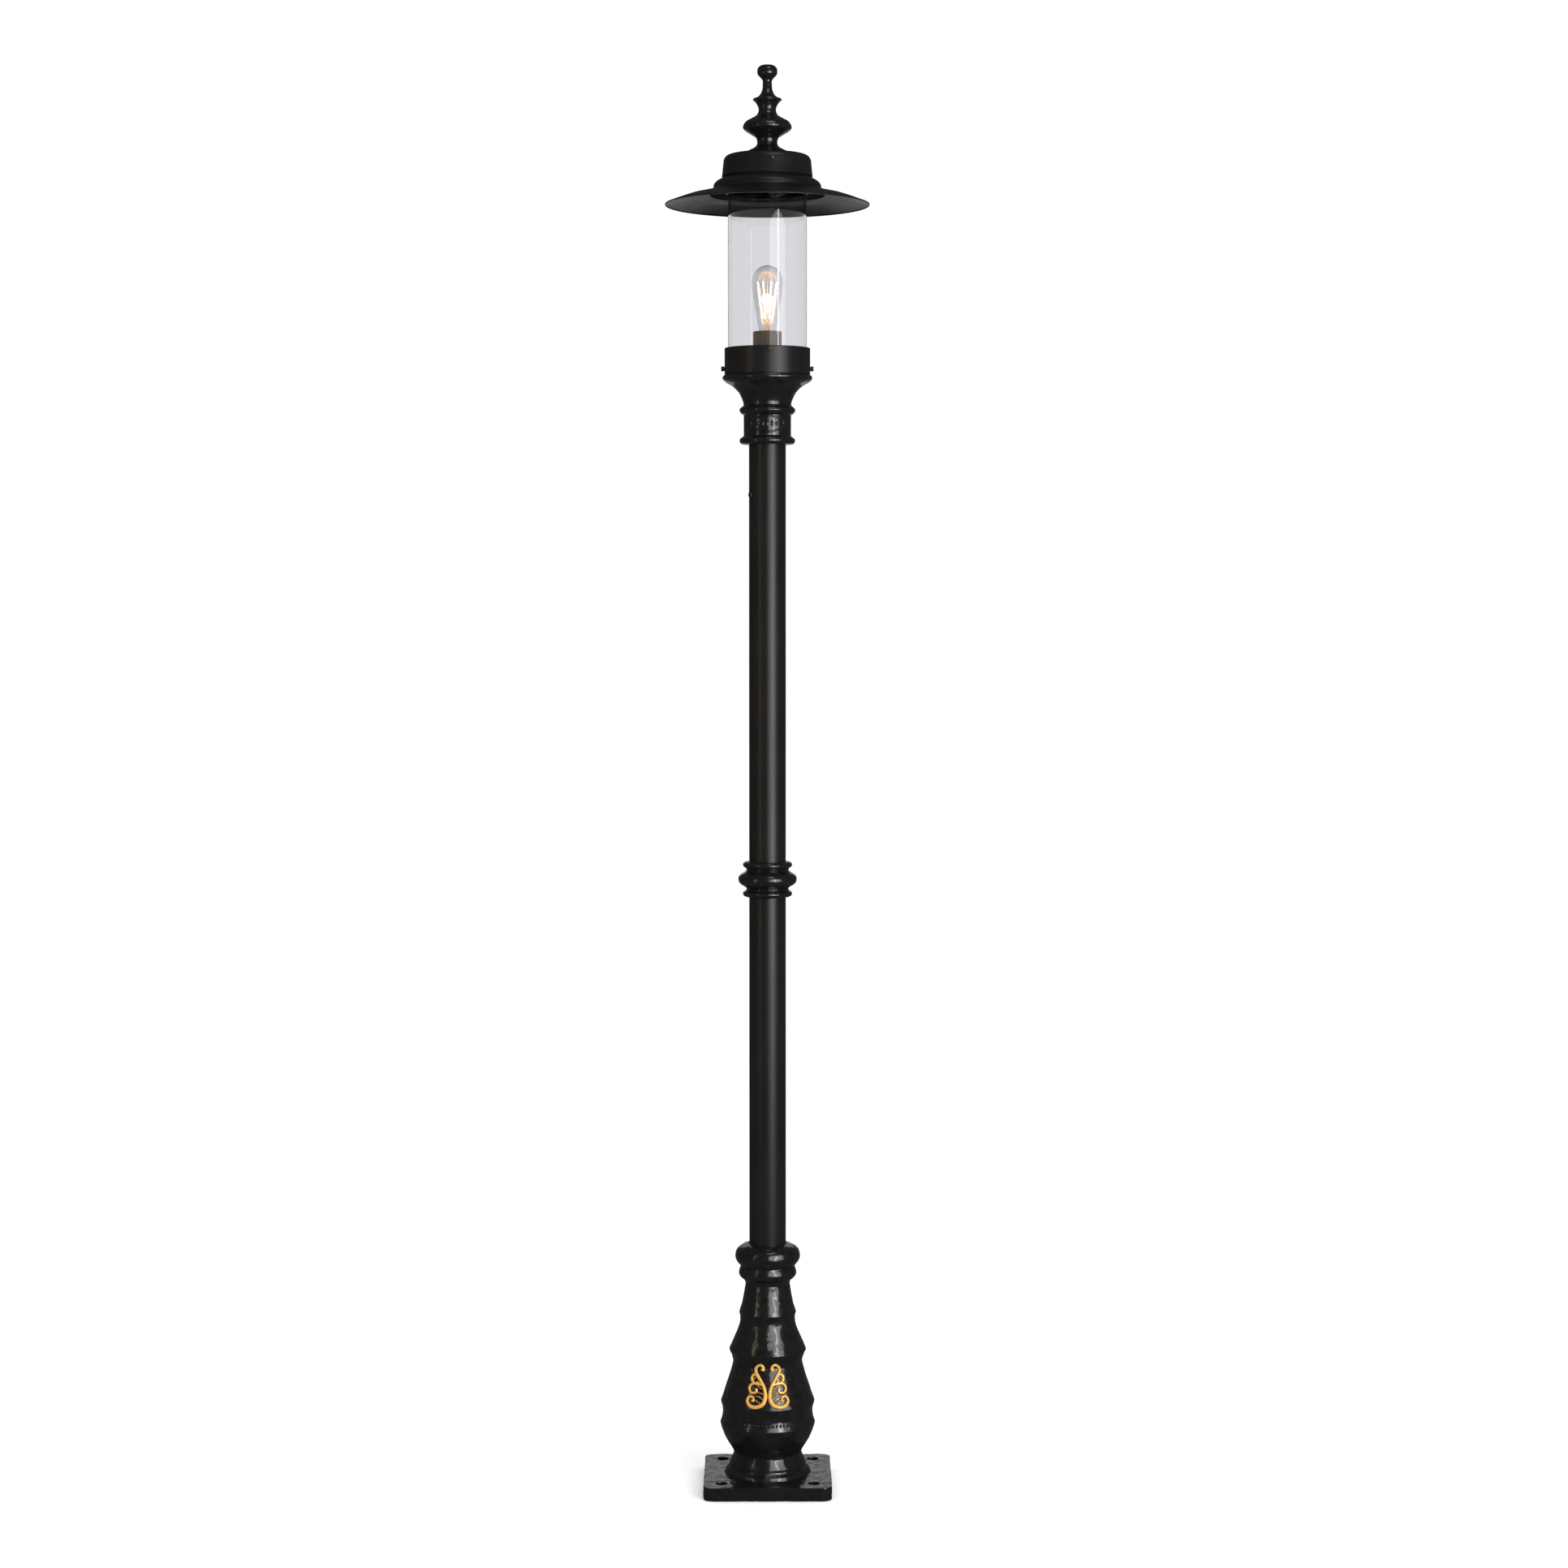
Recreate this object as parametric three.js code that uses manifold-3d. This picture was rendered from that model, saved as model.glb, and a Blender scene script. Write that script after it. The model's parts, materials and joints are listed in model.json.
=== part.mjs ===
// A street lamp post: a cast base, a two-piece tubular post with a cast collar, a cast capital,
// and a lantern with a clear glass cylinder, a spun brim and crown, a finial and a screw-in bulb.
// Millimetres, +Z up, the origin on the ground at the middle of the base, the front towards -Y.
import * as THREE from "three";
import { mergeVertices } from "three/addons/utils/BufferGeometryUtils.js";
import Module from "manifold-3d";

const wasm = await Module();
wasm.setup();

// ---- driving dimensions ----
const GAP = 0.3; // clearance between pieces that touch
const FINE = 24; // sides of a large round piece
const PLAIN = 24; // sides of the tubes and what fits them
const SLIM = 16; // sides of the finial and the bulb
const SMALL = 12; // sides of a nipple or stud
const SCREW = 8; // sides of a screw

const POST_R = 38.05; // 76.1 mm tube
const POST_WALL = 3.6;
const POST_BORE_R = POST_R - POST_WALL;
const SOCKET_R = POST_R + 0.35;
const SLEEVE_R = POST_BORE_R - 0.35;
const SLEEVE_BORE_R = SLEEVE_R - 4;
const CABLE_R = 4;

const PLATE_SIDE = 265;
const PLATE_T = 28;
const PLATE_CORNER_R = 19;
const PLATE_BORE_R = 44;
const BOLT_OFFSET = 95; // anchor holes from the plate's middle lines
const BOLT_HOLE_R = 12;
const BASE_TOP_Z = 510.5;
const SOCKET_FLOOR_Z = 400; // the ledge that the lower tube stands on
const SET_SCREW_Z = 485;
const BRACKET_SCREW_X = 51;
const BRACKET_T = 3;

const COLLAR_Z = 1272.5; // middle of the collar, where the two tubes meet
const COLLAR_GROOVE = 20; // the collar's grooves, and their grub screws, from its middle
const SLEEVE_HALF = 80;
const SPIGOT_SCREW_Z = 2066;
const SPIGOT_SCREW_ANGLE = -66;

const CAPITAL_Z = 2169; // lower face
const CAPITAL_TUBE_END = 2240; // ledge over the upper tube
const BADGE_Z = 2210;
const UPSTAND_TOP = 2331;
const UPSTAND_R = 85.2;

const GALLERY_R = 88;
const GALLERY_WALL = 2;
const GALLERY_Z = 2311;
const GALLERY_TOP = 2366;
const FLOOR_Z = 2338; // underside of the gallery's floor
const FLOOR_TOP = 2341;
const GALLERY_SCREW_Z = 2324;
const GLASS_SCREW_Z = 2359;

const GLASS_R = 81;
const GLASS_WALL = 4;
const GLASS_Z = 2343.5;
const GLASS_TOP = 2700;

const HOLDER_R = 29.6;
const HOLDER_TOP = 2400;
const LAMP_CAP_R = 13.2; // E27
const LAMP_CAP_Z = 2365;
const LAMP_CAP_H = 25;

const BRIM_R = 210;
const BRIM_Z = 2659; // outer edge
const CROWN_TOP = 2762;
const CROWN_SCREW_Z = 2743;
const STUD_R = 5;

// ---- materials ----
function paint(color, roughness, metalness = 0) {
  return new THREE.MeshStandardMaterial({ color, roughness, metalness });
}
const castBlack = () => paint(0x0c0c0c, 0.22);
const satinBlack = () => paint(0x231f1f, 0.35);
const gilt = () => paint(0xb5853a, 0.38, 0.8);
const screwBlack = () => paint(0x161616, 0.4, 0.6);
const zinc = () => paint(0x8d9094, 0.45, 0.9);
const brass = () => paint(0xb08d4a, 0.35, 0.9);
const bronze = () => paint(0x5b4122, 0.45, 0.8);
const ceramic = () => paint(0xe8e4d8, 0.3);
const rubber = () => paint(0x1b1b1b, 0.8);
const nylon = () => paint(0xd9d7cc, 0.5);
const filament = () => paint(0xf3c56a, 0.6);

function clearGlass() {
  return new THREE.MeshStandardMaterial({
    color: 0xe9eef0,
    roughness: 0.02,
    transparent: true,
    opacity: 0.3,
  });
}

// ---- solids ----
function solidOf(geometry) {
  const bare = geometry.clone();
  bare.deleteAttribute("normal");
  bare.deleteAttribute("uv");
  const merged = mergeVertices(bare, 1e-3);
  const vertProperties = merged.getAttribute("position").array;
  const triVerts = new Uint32Array(merged.index.array);
  return new wasm.Manifold(new wasm.Mesh({ numProp: 3, vertProperties, triVerts }));
}

function geometryOf(solid) {
  const { vertProperties, triVerts } = solid.getMesh();
  const geometry = new THREE.BufferGeometry();
  geometry.setAttribute("position", new THREE.BufferAttribute(vertProperties, 3));
  geometry.setIndex(new THREE.BufferAttribute(triVerts, 1));
  geometry.computeVertexNormals();
  return geometry;
}

function join(...geometries) {
  return geometryOf(geometries.map(solidOf).reduce((whole, solid) => whole.add(solid)));
}

function cut(geometry, ...tools) {
  return geometryOf(tools.map(solidOf).reduce((left, tool) => left.subtract(tool), solidOf(geometry)));
}

function common(a, b) {
  return geometryOf(solidOf(a).intersect(solidOf(b)));
}

// An outline of [radius, height] points turned about Z. It closes on itself, or on the axis.
function turned(outline, sides = PLAIN) {
  const points = outline.map(([r, z]) => new THREE.Vector2(r, z));
  const onAxis = points[0].x === 0 && points[points.length - 1].x === 0;
  if (THREE.ShapeUtils.isClockWise(points)) points.reverse();
  if (!onAxis) points.push(points[0].clone());
  return new THREE.LatheGeometry(points, sides).rotateX(Math.PI / 2);
}

function ring(innerR, outerR, bottom, top, sides = PLAIN) {
  return turned([[innerR, bottom], [outerR, bottom], [outerR, top], [innerR, top]], sides);
}

function rod(radius, bottom, top, sides = SMALL) {
  return turned([[0, bottom], [radius, bottom], [radius, top], [0, top]], sides);
}

function rodBetween(a, b, radius, sides) {
  const along = new THREE.Vector3().subVectors(b, a);
  const turn = new THREE.Quaternion();
  turn.setFromUnitVectors(new THREE.Vector3(0, 0, 1), along.clone().normalize());
  return rod(radius, 0, along.length(), sides).applyQuaternion(turn).translate(a.x, a.y, a.z);
}

function block(x, y, bottom, top) {
  return new THREE.BoxGeometry(x, y, top - bottom).translate(0, 0, (bottom + top) / 2);
}

function hexNut(boreR, cornerR, bottom, top) {
  return cut(rod(cornerR, bottom, top, 6), rod(boreR, bottom - 1, top + 1, SMALL));
}

// Points on an arc about (r, z), between two angles in degrees.
function arc(r, z, radius, from, to, steps) {
  return Array.from({ length: steps + 1 }, (_, i) => {
    const angle = THREE.MathUtils.degToRad(from + ((to - from) * i) / steps);
    return [r + radius * Math.cos(angle), z + radius * Math.sin(angle)];
  });
}

// Points on a smooth line through the given ones.
function smooth(points, steps) {
  const spline = new THREE.SplineCurve(points.map(([r, z]) => new THREE.Vector2(r, z)));
  return spline.getPoints(steps).map((p) => [p.x, p.y]);
}

// A thin spinning: the line is its outside, from the top down, and its wall lies inside that.
function sheet(line, thickness) {
  const inside = line.map(([r, z], i) => {
    const [r0, z0] = line[Math.max(i - 1, 0)];
    const [r1, z1] = line[Math.min(i + 1, line.length - 1)];
    const length = Math.hypot(r1 - r0, z1 - z0);
    return [r + ((z1 - z0) / length) * thickness, z - ((r1 - r0) / length) * thickness];
  });
  return [...line, ...inside.reverse()];
}

// ---- placing ----
function piece(name, geometry, material) {
  const mesh = new THREE.Mesh(geometry, material);
  mesh.name = name;
  return mesh;
}

// Turns an object whose axis is +Z so that it points outwards at this angle from the front.
function outwards(object, angle, radius, z) {
  const turn = THREE.MathUtils.degToRad(angle);
  object.rotation.set(Math.PI / 2, 0, turn, "ZXY");
  object.position.set(radius * Math.sin(turn), -radius * Math.cos(turn), z);
  return object;
}

function radialHole(radius, angle, z, from, to) {
  const hole = outwards(new THREE.Mesh(rod(radius, from, to, SCREW)), angle, 0, z);
  hole.updateMatrix();
  return hole.geometry.applyMatrix4(hole.matrix);
}

// A dome-headed screw with a socket. Its head stands on z = 0 and its shank goes down.
function domeScrew(name, headR, headH, shankR, length) {
  const socketR = headR * 0.4;
  const head = [[shankR, 0], [headR, 0], [headR, headH * 0.35], [headR * 0.75, headH * 0.9]];
  const socket = [[socketR, headH], [socketR, headH * 0.4], [0, headH * 0.4]];
  return piece(name, turned([[0, -length], [shankR, -length], ...head, ...socket], SCREW), screwBlack());
}

function capScrew(name, headR, headH, shankR, length) {
  const socketR = headR * 0.5;
  const head = [[shankR, 0], [headR, 0], [headR, headH], [socketR, headH]];
  const socket = [[socketR, headH * 0.4], [0, headH * 0.4]];
  return piece(name, turned([[0, -length], [shankR, -length], ...head, ...socket], SCREW), screwBlack());
}

// A headless screw with a socket, from z = 0 down.
function grubScrew(name, radius, length) {
  const socketR = radius * 0.5;
  const end = [[radius, 0], [socketR, 0], [socketR, -radius * 0.8], [0, -radius * 0.8]];
  return piece(name, turned([[0, -length], [radius, -length], ...end], SCREW), screwBlack());
}

// ---- base ----
const SET_SCREW_ANGLES = [130, -130];

function basePlate() {
  const half = PLATE_SIDE / 2 - PLATE_CORNER_R;
  const outline = new THREE.Shape();
  [[1, 1], [-1, 1], [-1, -1], [1, -1]].forEach(([x, y], quarter) => {
    const from = (quarter * Math.PI) / 2;
    outline.absarc(x * half, y * half, PLATE_CORNER_R, from, from + Math.PI / 2);
    const hole = new THREE.Path();
    hole.absarc(x * BOLT_OFFSET, y * BOLT_OFFSET, BOLT_HOLE_R, 0, 2 * Math.PI);
    outline.holes.push(hole);
  });
  const plate = new THREE.ExtrudeGeometry(outline, { depth: PLATE_T, bevelEnabled: false, curveSegments: 6 });
  const bore = rod(PLATE_BORE_R, -1, PLATE_T + 1, FINE);
  const screwHoles = [-1, 1].map((side) =>
    rod(2.8, PLATE_T - 15, PLATE_T + 1).translate(side * BRACKET_SCREW_X, 0, 0));
  return piece("base_plate", cut(plate, bore, ...screwHoles), castBlack());
}

// The middle skirt of the pedestal, on which the scrolls lie.
function middleSkirt() {
  return smooth([[97.8, 179], [87.9, 206], [78.5, 237], [72.3, 262], [75, 276], [80.4, 288]], 7);
}

// The pedestal's outside, from its foot up: three flared skirts with sharp edges, then two beads.
function pedestalOutline() {
  const foot = [[88, PLATE_T + GAP], [88, 33]];
  const urn = smooth([[79, 50], [70.6, 71], [75, 81.5], [87.4, 102], [99, 134]], 6);
  const band = smooth([[99, 134], [94.1, 154], [94.6, 164], [97.8, 179]], 3).slice(1);
  const topSkirt = smooth([[80.4, 288], [69, 314], [58.4, 340], [57.4, 350], [59.2, 366]], 4).slice(1);
  const neck = smooth([[59.2, 366], [51, 396], [46.1, 427]], 2).slice(1);
  const lowerBead = [[51, 437], [56.9, 442], [59.7, 450], [58, 458], [56, 465]];
  const upperBead = [[62.5, 473], [67.3, 482], [67, 489], [62.7, 499], [56.5, 504], [47, BASE_TOP_Z]];
  return [...foot, ...urn, ...band, ...middleSkirt().slice(1), ...topSkirt, ...neck, ...lowerBead,
    ...upperBead];
}

// The cored inside, from the top down: the post's socket, its ledge and the hollow below.
function pedestalCore() {
  const socket = [[SOCKET_R, BASE_TOP_Z], [SOCKET_R, SOCKET_FLOOR_Z], [30, SOCKET_FLOOR_Z], [30, 388]];
  const hollow = [[47, 350], [47, 340], [66, 290], [62, 262], [84, 182], [86, 132], [60, 75]];
  return [...socket, ...hollow, [60, PLATE_T + GAP]];
}

function basePedestal() {
  const holes = SET_SCREW_ANGLES.map((angle) => radialHole(4.8, angle, SET_SCREW_Z, 34, 75));
  const body = turned([...pedestalOutline(), ...pedestalCore()], FINE);
  return piece("base_pedestal", cut(body, ...holes), castBlack());
}

// A flat ribbon along a smooth line, as a bar that runs forwards from the middle of the post.
function ribbonBar(points, fromWidth, toWidth, steps) {
  const line = new THREE.SplineCurve(points.map(([x, z]) => new THREE.Vector2(x, z)));
  const edges = [1, -1].map((way) =>
    Array.from({ length: steps + 1 }, (_, i) => {
      const t = i / steps;
      const across = line.getTangent(t).rotateAround(new THREE.Vector2(), Math.PI / 2);
      const reach = (way * THREE.MathUtils.lerp(fromWidth, toWidth, t)) / 2;
      return line.getPoint(t).addScaledVector(across, reach);
    }));
  const outline = new THREE.Shape([...edges[0], ...edges[1].reverse()]);
  return new THREE.ExtrudeGeometry(outline, { depth: 130, bevelEnabled: false }).rotateX(Math.PI / 2);
}

// One scroll: a stem from an upper curl down to a lower volute, with two leaves on its outer side.
function scroll(name, side) {
  const on = (points) => points.map(([x, z]) => [side * x, z]);
  const stem = ribbonBar(on([[16, 260], [13, 267], [7, 266], [5, 257], [10, 243], [11, 230], [6, 214],
    [6, 200], [16, 190], [30, 190], [39, 201], [34, 212], [26, 208]]), 5, 6, 24);
  const upperLeaf = ribbonBar(on([[9, 240], [18, 248], [25, 244], [23, 238]]), 7, 4, 7);
  const lowerLeaf = ribbonBar(on([[8, 219], [19, 229], [29, 229], [30, 222]]), 7, 4, 7);
  const skin = [...middleSkirt().map(([r, z]) => [r + 0.35, z]),
    ...middleSkirt().map(([r, z]) => [r + 4.5, z]).reverse()];
  return piece(name, common(join(stem, upperLeaf, lowerLeaf), turned(skin, FINE)), gilt());
}

function terminalBracket() {
  const bottom = PLATE_T + GAP;
  const holes = [-1, 1].map((side) => rod(2.8, 0, PLATE_T + 10).translate(side * BRACKET_SCREW_X, 0, 0));
  return piece("terminal_bracket", cut(block(112, 30, bottom, bottom + BRACKET_T), ...holes), zinc());
}

function bracketScrew(name, side) {
  const screw = capScrew(name, 4, 3, 2.3, 14);
  screw.position.set(side * BRACKET_SCREW_X, 0, PLATE_T + BRACKET_T + 2 * GAP);
  return screw;
}

function terminalBlock() {
  const bottom = PLATE_T + BRACKET_T + 2 * GAP;
  const towers = [-15, 0, 15].map((x) => block(10, 12, bottom + 10, bottom + 20).translate(x, 0, 0));
  return piece("terminal_block", join(block(46, 18, bottom, bottom + 12), ...towers), nylon());
}

function baseGroup() {
  const group = new THREE.Group();
  group.add(basePlate(), basePedestal(), scroll("scroll_left", -1), scroll("scroll_right", 1));
  SET_SCREW_ANGLES.forEach((angle, i) => {
    const length = 66 - POST_R - 2 * GAP;
    group.add(outwards(grubScrew(`base_set_screw_${i + 1}`, 4.3, length), angle, 66, SET_SCREW_Z));
  });
  group.add(terminalBracket(), bracketScrew("bracket_screw_left", -1));
  group.add(bracketScrew("bracket_screw_right", 1), terminalBlock());
  return group;
}

// ---- post ----
function postTube(name, bottom, top, ...holes) {
  const tube = ring(POST_BORE_R, POST_R, bottom, top);
  return piece(name, holes.length ? cut(tube, ...holes) : tube, satinBlack());
}

// The collar's outside: a plain bead at each end and a fat one in the middle, with grooves between.
function collarOutline() {
  const end = [...arc(45.6, 30.3, 5.4, -70, 60, 3), [SOCKET_R, 36.5]];
  const half = [[60.6, 0], [58.8, 6], [52, 12], [43.7, 18], [43.7, 23.5], ...end];
  const mirrored = half.slice(1).map(([r, z]) => [r, -z]).reverse();
  return [...mirrored, ...half].map(([r, z]) => [r, z + COLLAR_Z]);
}

function midCollar() {
  const holes = [-1, 1].map((side) => radialHole(3.4, 180, COLLAR_Z + side * COLLAR_GROOVE, 30, 60));
  return piece("mid_collar", cut(turned(collarOutline()), ...holes), castBlack());
}

function postGroup() {
  const group = new THREE.Group();
  const screwHole = radialHole(3.9, SPIGOT_SCREW_ANGLE, SPIGOT_SCREW_Z, 20, 45);
  const spigot = ring(SLEEVE_BORE_R, SLEEVE_R, SPIGOT_SCREW_Z - 36, 2290);
  group.add(postTube("lower_tube", SOCKET_FLOOR_Z + GAP, COLLAR_Z - GAP));
  group.add(postTube("upper_tube", COLLAR_Z + GAP, CAPITAL_TUBE_END - GAP, screwHole));
  const sleeve = ring(SLEEVE_BORE_R, SLEEVE_R, COLLAR_Z - SLEEVE_HALF, COLLAR_Z + SLEEVE_HALF);
  group.add(piece("joint_sleeve", sleeve, zinc()), midCollar());
  [-1, 1].forEach((side, i) => {
    const screw = grubScrew(`collar_grub_screw_${i + 1}`, 3, 43.4 - POST_R - 2 * GAP);
    group.add(outwards(screw, 180, 43.4, COLLAR_Z + side * COLLAR_GROOVE));
  });
  group.add(piece("head_spigot", cut(spigot, screwHole), zinc()));
  const screw = domeScrew("spigot_screw", 7, 3, 3.4, POST_R - SLEEVE_BORE_R);
  group.add(outwards(screw, SPIGOT_SCREW_ANGLE, POST_R + GAP, SPIGOT_SCREW_Z));
  return group;
}

// The lead inside the post, from the terminal block to the lampholder, slack between the walls.
function supplyCable() {
  const route = [[0, 0, 52.2], [0, 0, 75], [10, 8, 150], [14, 4, 240], [6, -6, 330], [0, 0, 394],
    [-12, 10, 500], [12, 8, 640], [-10, 14, 850], [-16, -8, 1080], [8, -14, 1272], [16, 8, 1500],
    [-12, 12, 1750], [-10, -10, 1950], [10, -6, 2120], [3, 2, 2220], [0, 0, 2275], [0, 0, 2312],
    [0, 0, 2352]];
  const path = new THREE.CatmullRomCurve3(route.map((p) => new THREE.Vector3(...p)));
  const section = new THREE.Shape();
  section.absarc(0, 0, CABLE_R, 0, 2 * Math.PI);
  const options = { steps: 60, extrudePath: path, bevelEnabled: false, curveSegments: 4 };
  return piece("supply_cable", new THREE.ExtrudeGeometry(section, options), rubber());
}

// ---- capital ----
const GALLERY_SCREW_ANGLES = [-90, 90];
const GLASS_SCREW_ANGLES = [3, 123, -117];

function capitalOutline() {
  const foot = [[SOCKET_R, CAPITAL_Z], [50, CAPITAL_Z]];
  const lowerBead = arc(51.4, 2177, 5.8, -60, 60, 2);
  const upperBead = arc(51.6, 2238, 5.9, -60, 60, 2);
  const bell = smooth([[49.1, 2250], [52.5, 2262], [59.1, 2275], [72.4, 2288.5], [88.3, 2298.5]], 5);
  const rim = [...arc(87.9, 2305.7, 4.6, -45, 90, 3), [UPSTAND_R, 2310.3]];
  const bowl = [[78, UPSTAND_TOP], [78, 2318], [60, 2296], [40, 2280], [SLEEVE_R + 0.35, 2276]];
  return [...foot, ...lowerBead, [48.8, 2186], [48.8, 2229], ...upperBead, ...bell, ...rim,
    [UPSTAND_R, UPSTAND_TOP], ...bowl, [SLEEVE_R + 0.35, CAPITAL_TUBE_END], [SOCKET_R, CAPITAL_TUBE_END]];
}

// A raised oval on the front of the capital's neck.
function capitalBadge() {
  const oval = new THREE.Shape();
  oval.absellipse(0, BADGE_Z, 34, 17.5, 0, 2 * Math.PI);
  const bar = new THREE.ExtrudeGeometry(oval, { depth: 80, bevelEnabled: false, curveSegments: 7 });
  return common(bar.rotateX(Math.PI / 2), ring(46, 51.3, BADGE_Z - 25, BADGE_Z + 25, FINE));
}

function capital() {
  const holes = GALLERY_SCREW_ANGLES.map((angle) => radialHole(3.5, angle, GALLERY_SCREW_Z, 70, 95));
  const body = join(turned(capitalOutline(), FINE), capitalBadge());
  return piece("capital", cut(body, ...holes), castBlack());
}

// ---- lantern gallery and glass ----
function galleryCup() {
  const inner = GALLERY_R - GALLERY_WALL;
  const cup = [[inner, GALLERY_Z], [GALLERY_R, GALLERY_Z], [GALLERY_R, GALLERY_TOP], [inner, GALLERY_TOP],
    [inner, FLOOR_TOP], [7, FLOOR_TOP], [7, FLOOR_Z], [inner, FLOOR_Z]];
  const glassHoles = GLASS_SCREW_ANGLES.map((angle) => radialHole(3.2, angle, GLASS_SCREW_Z, 80, 95));
  const sideHoles = GALLERY_SCREW_ANGLES.map((angle) => radialHole(3.5, angle, GALLERY_SCREW_Z, 80, 95));
  return piece("gallery_cup", cut(turned(cup, FINE), ...glassHoles, ...sideHoles), satinBlack());
}

function lowerGasket() {
  const bottom = FLOOR_TOP + GAP;
  const seat = GLASS_Z - GAP;
  const outer = GALLERY_R - GALLERY_WALL - 0.4;
  const section = [[73, bottom], [outer, bottom], [outer, 2350], [GLASS_R + 0.4, 2350],
    [GLASS_R + 0.4, seat], [73, seat]];
  return piece("lower_gasket", turned(section, FINE), rubber());
}

function galleryGroup() {
  const group = new THREE.Group();
  group.add(galleryCup(), lowerGasket());
  ["gallery_screw_left", "gallery_screw_right"].forEach((name, i) => {
    const screw = capScrew(name, 5, 6.7, 3, 8.8);
    group.add(outwards(screw, GALLERY_SCREW_ANGLES[i], GALLERY_R + GAP, GALLERY_SCREW_Z));
  });
  GLASS_SCREW_ANGLES.forEach((angle, i) => {
    const screw = domeScrew(`glass_screw_${i + 1}`, 5.5, 3, 2.7, 6.4);
    group.add(outwards(screw, angle, GALLERY_R + GAP, GLASS_SCREW_Z));
  });
  return group;
}

// ---- lampholder ----
function holderGroup() {
  const group = new THREE.Group();
  const foot = FLOOR_TOP + GAP;
  const cup = [[7, foot], [26, foot], [26, 2391], [15.6, 2391], [15.6, 2356], [7, 2356]];
  group.add(piece("holder_nipple", ring(4.6, 6.5, 2328, 2353, SMALL), brass()));
  group.add(piece("holder_locknut", hexNut(6.9, 12, 2331.5, FLOOR_Z - GAP), brass()));
  group.add(piece("lampholder_body", turned(cup), ceramic()));
  group.add(piece("holder_screw_shell", ring(14.4, 15.2, 2362, 2390), brass()));
  const spring = new THREE.Shape([[-13, 0], [13, 0], [13, 1.2], [4, 2.6], [-4, 2.6], [-13, 1.2]]
    .map(([x, z]) => new THREE.Vector2(x, z)));
  const contact = new THREE.ExtrudeGeometry(spring, { depth: 8, bevelEnabled: false });
  contact.translate(0, 0, -4).rotateX(Math.PI / 2).translate(0, 0, 2356.3);
  group.add(piece("holder_contact", contact, brass()));
  group.add(piece("holder_sleeve", ring(HOLDER_R - 1.6, HOLDER_R, foot, HOLDER_TOP), bronze()));
  return group;
}

// ---- bulb ----
const NECK_Z = LAMP_CAP_Z + LAMP_CAP_H + GAP; // where the glass leaves the cap
const WIDEST_Z = 2502;

function bulbGlass() {
  const side = smooth([[12.6, NECK_Z], [17.5, 2402], [24, 2440], [31, 2485], [32, WIDEST_Z]], 6);
  const dome = smooth([[32, WIDEST_Z], [29.5, 2517], [19, 2530.5], [0, 2535]], 4).slice(1);
  const outside = [...side, ...dome];
  outside[outside.length - 1][0] = 0;
  const inside = outside.map(([r, z]) => [Math.max(r - 1, 0), z > WIDEST_Z ? z - (z - WIDEST_Z) * 0.04 : z]);
  return piece("bulb_glass", turned([...outside, ...inside.reverse()], SLIM), clearGlass());
}

function bulbCap() {
  const r = LAMP_CAP_R;
  const top = LAMP_CAP_Z + LAMP_CAP_H;
  const section = [[9.8, LAMP_CAP_Z], [12.4, LAMP_CAP_Z + 0.8], [r, LAMP_CAP_Z + 2], [r, top], [r - 0.7, top],
    [r - 0.7, LAMP_CAP_Z + 2.4], [12, LAMP_CAP_Z + 1.7], [9.8, LAMP_CAP_Z + 1]];
  return piece("bulb_cap", turned(section, SLIM), brass());
}

function bulbInsulator() {
  const section = [[4.9, -3.2], [7, -3], [9.4, 0], [9.4, 3], [4.9, 3]];
  return piece("bulb_insulator", turned(section.map(([r, z]) => [r, z + LAMP_CAP_Z]), SMALL), nylon());
}

function contactPip() {
  const section = [[0, -5.4], [2.6, -5.2], [4.5, -4], [4.5, 0], [0, 0]];
  return piece("bulb_contact_pip", turned(section.map(([r, z]) => [r, z + LAMP_CAP_Z]), SMALL), zinc());
}

// The glass stem, its wires and the eight lit filaments, which are one fused piece.
function filamentCage() {
  const at = (r, angle, z) => new THREE.Vector3(r * Math.cos(angle), r * Math.sin(angle), z);
  const stem = turned([[0, 2392], [9.5, 2392], [9.5, 2395], [4, 2402], [3, 2410], [3, 2420], [0, 2422]], 8);
  const parts = [stem, rod(0.9, 2418, 2526, 6)];
  for (let i = 0; i < 8; i++) {
    const angle = ((i + 0.5) * Math.PI) / 4;
    const foot = at(11, angle, 2427);
    const head = at(21, angle, 2500);
    parts.push(rodBetween(at(0, 0, 2419), foot, 0.7, 4));
    parts.push(rodBetween(foot, head, 1.4, 5));
    parts.push(rodBetween(head, at(0, 0, 2522), 0.7, 4));
  }
  return piece("filament_cage", join(...parts), filament());
}

// ---- lantern top ----
const CROWN_SCREW_ANGLES = [6, 126, -114];

function crownHoles() {
  return CROWN_SCREW_ANGLES.map((angle) => radialHole(3.2, angle, CROWN_SCREW_Z, 75, 100));
}

// The ring that rides on the glass's top edge and takes the crown's screws.
function glassCapRing() {
  const section = [[81.6, 2680], [84, 2680], [84, 2705], [85.6, 2708], [85.6, 2752], [82.6, 2752],
    [82.6, 2706.5], [60, 2706.5], [60, 2703.3], [81.6, 2703.3]];
  return piece("glass_cap_ring", cut(turned(section, FINE), ...crownHoles()), satinBlack());
}

function crown() {
  const line = [[STUD_R + 0.6, CROWN_TOP], [45, 2761.5], [75, 2759.5], [84, 2756.5], [89, 2751.5], [90, 2746],
    [93, 2714.5]];
  return piece("crown", cut(turned(sheet(line, 1.5), FINE), ...crownHoles()), satinBlack());
}

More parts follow.
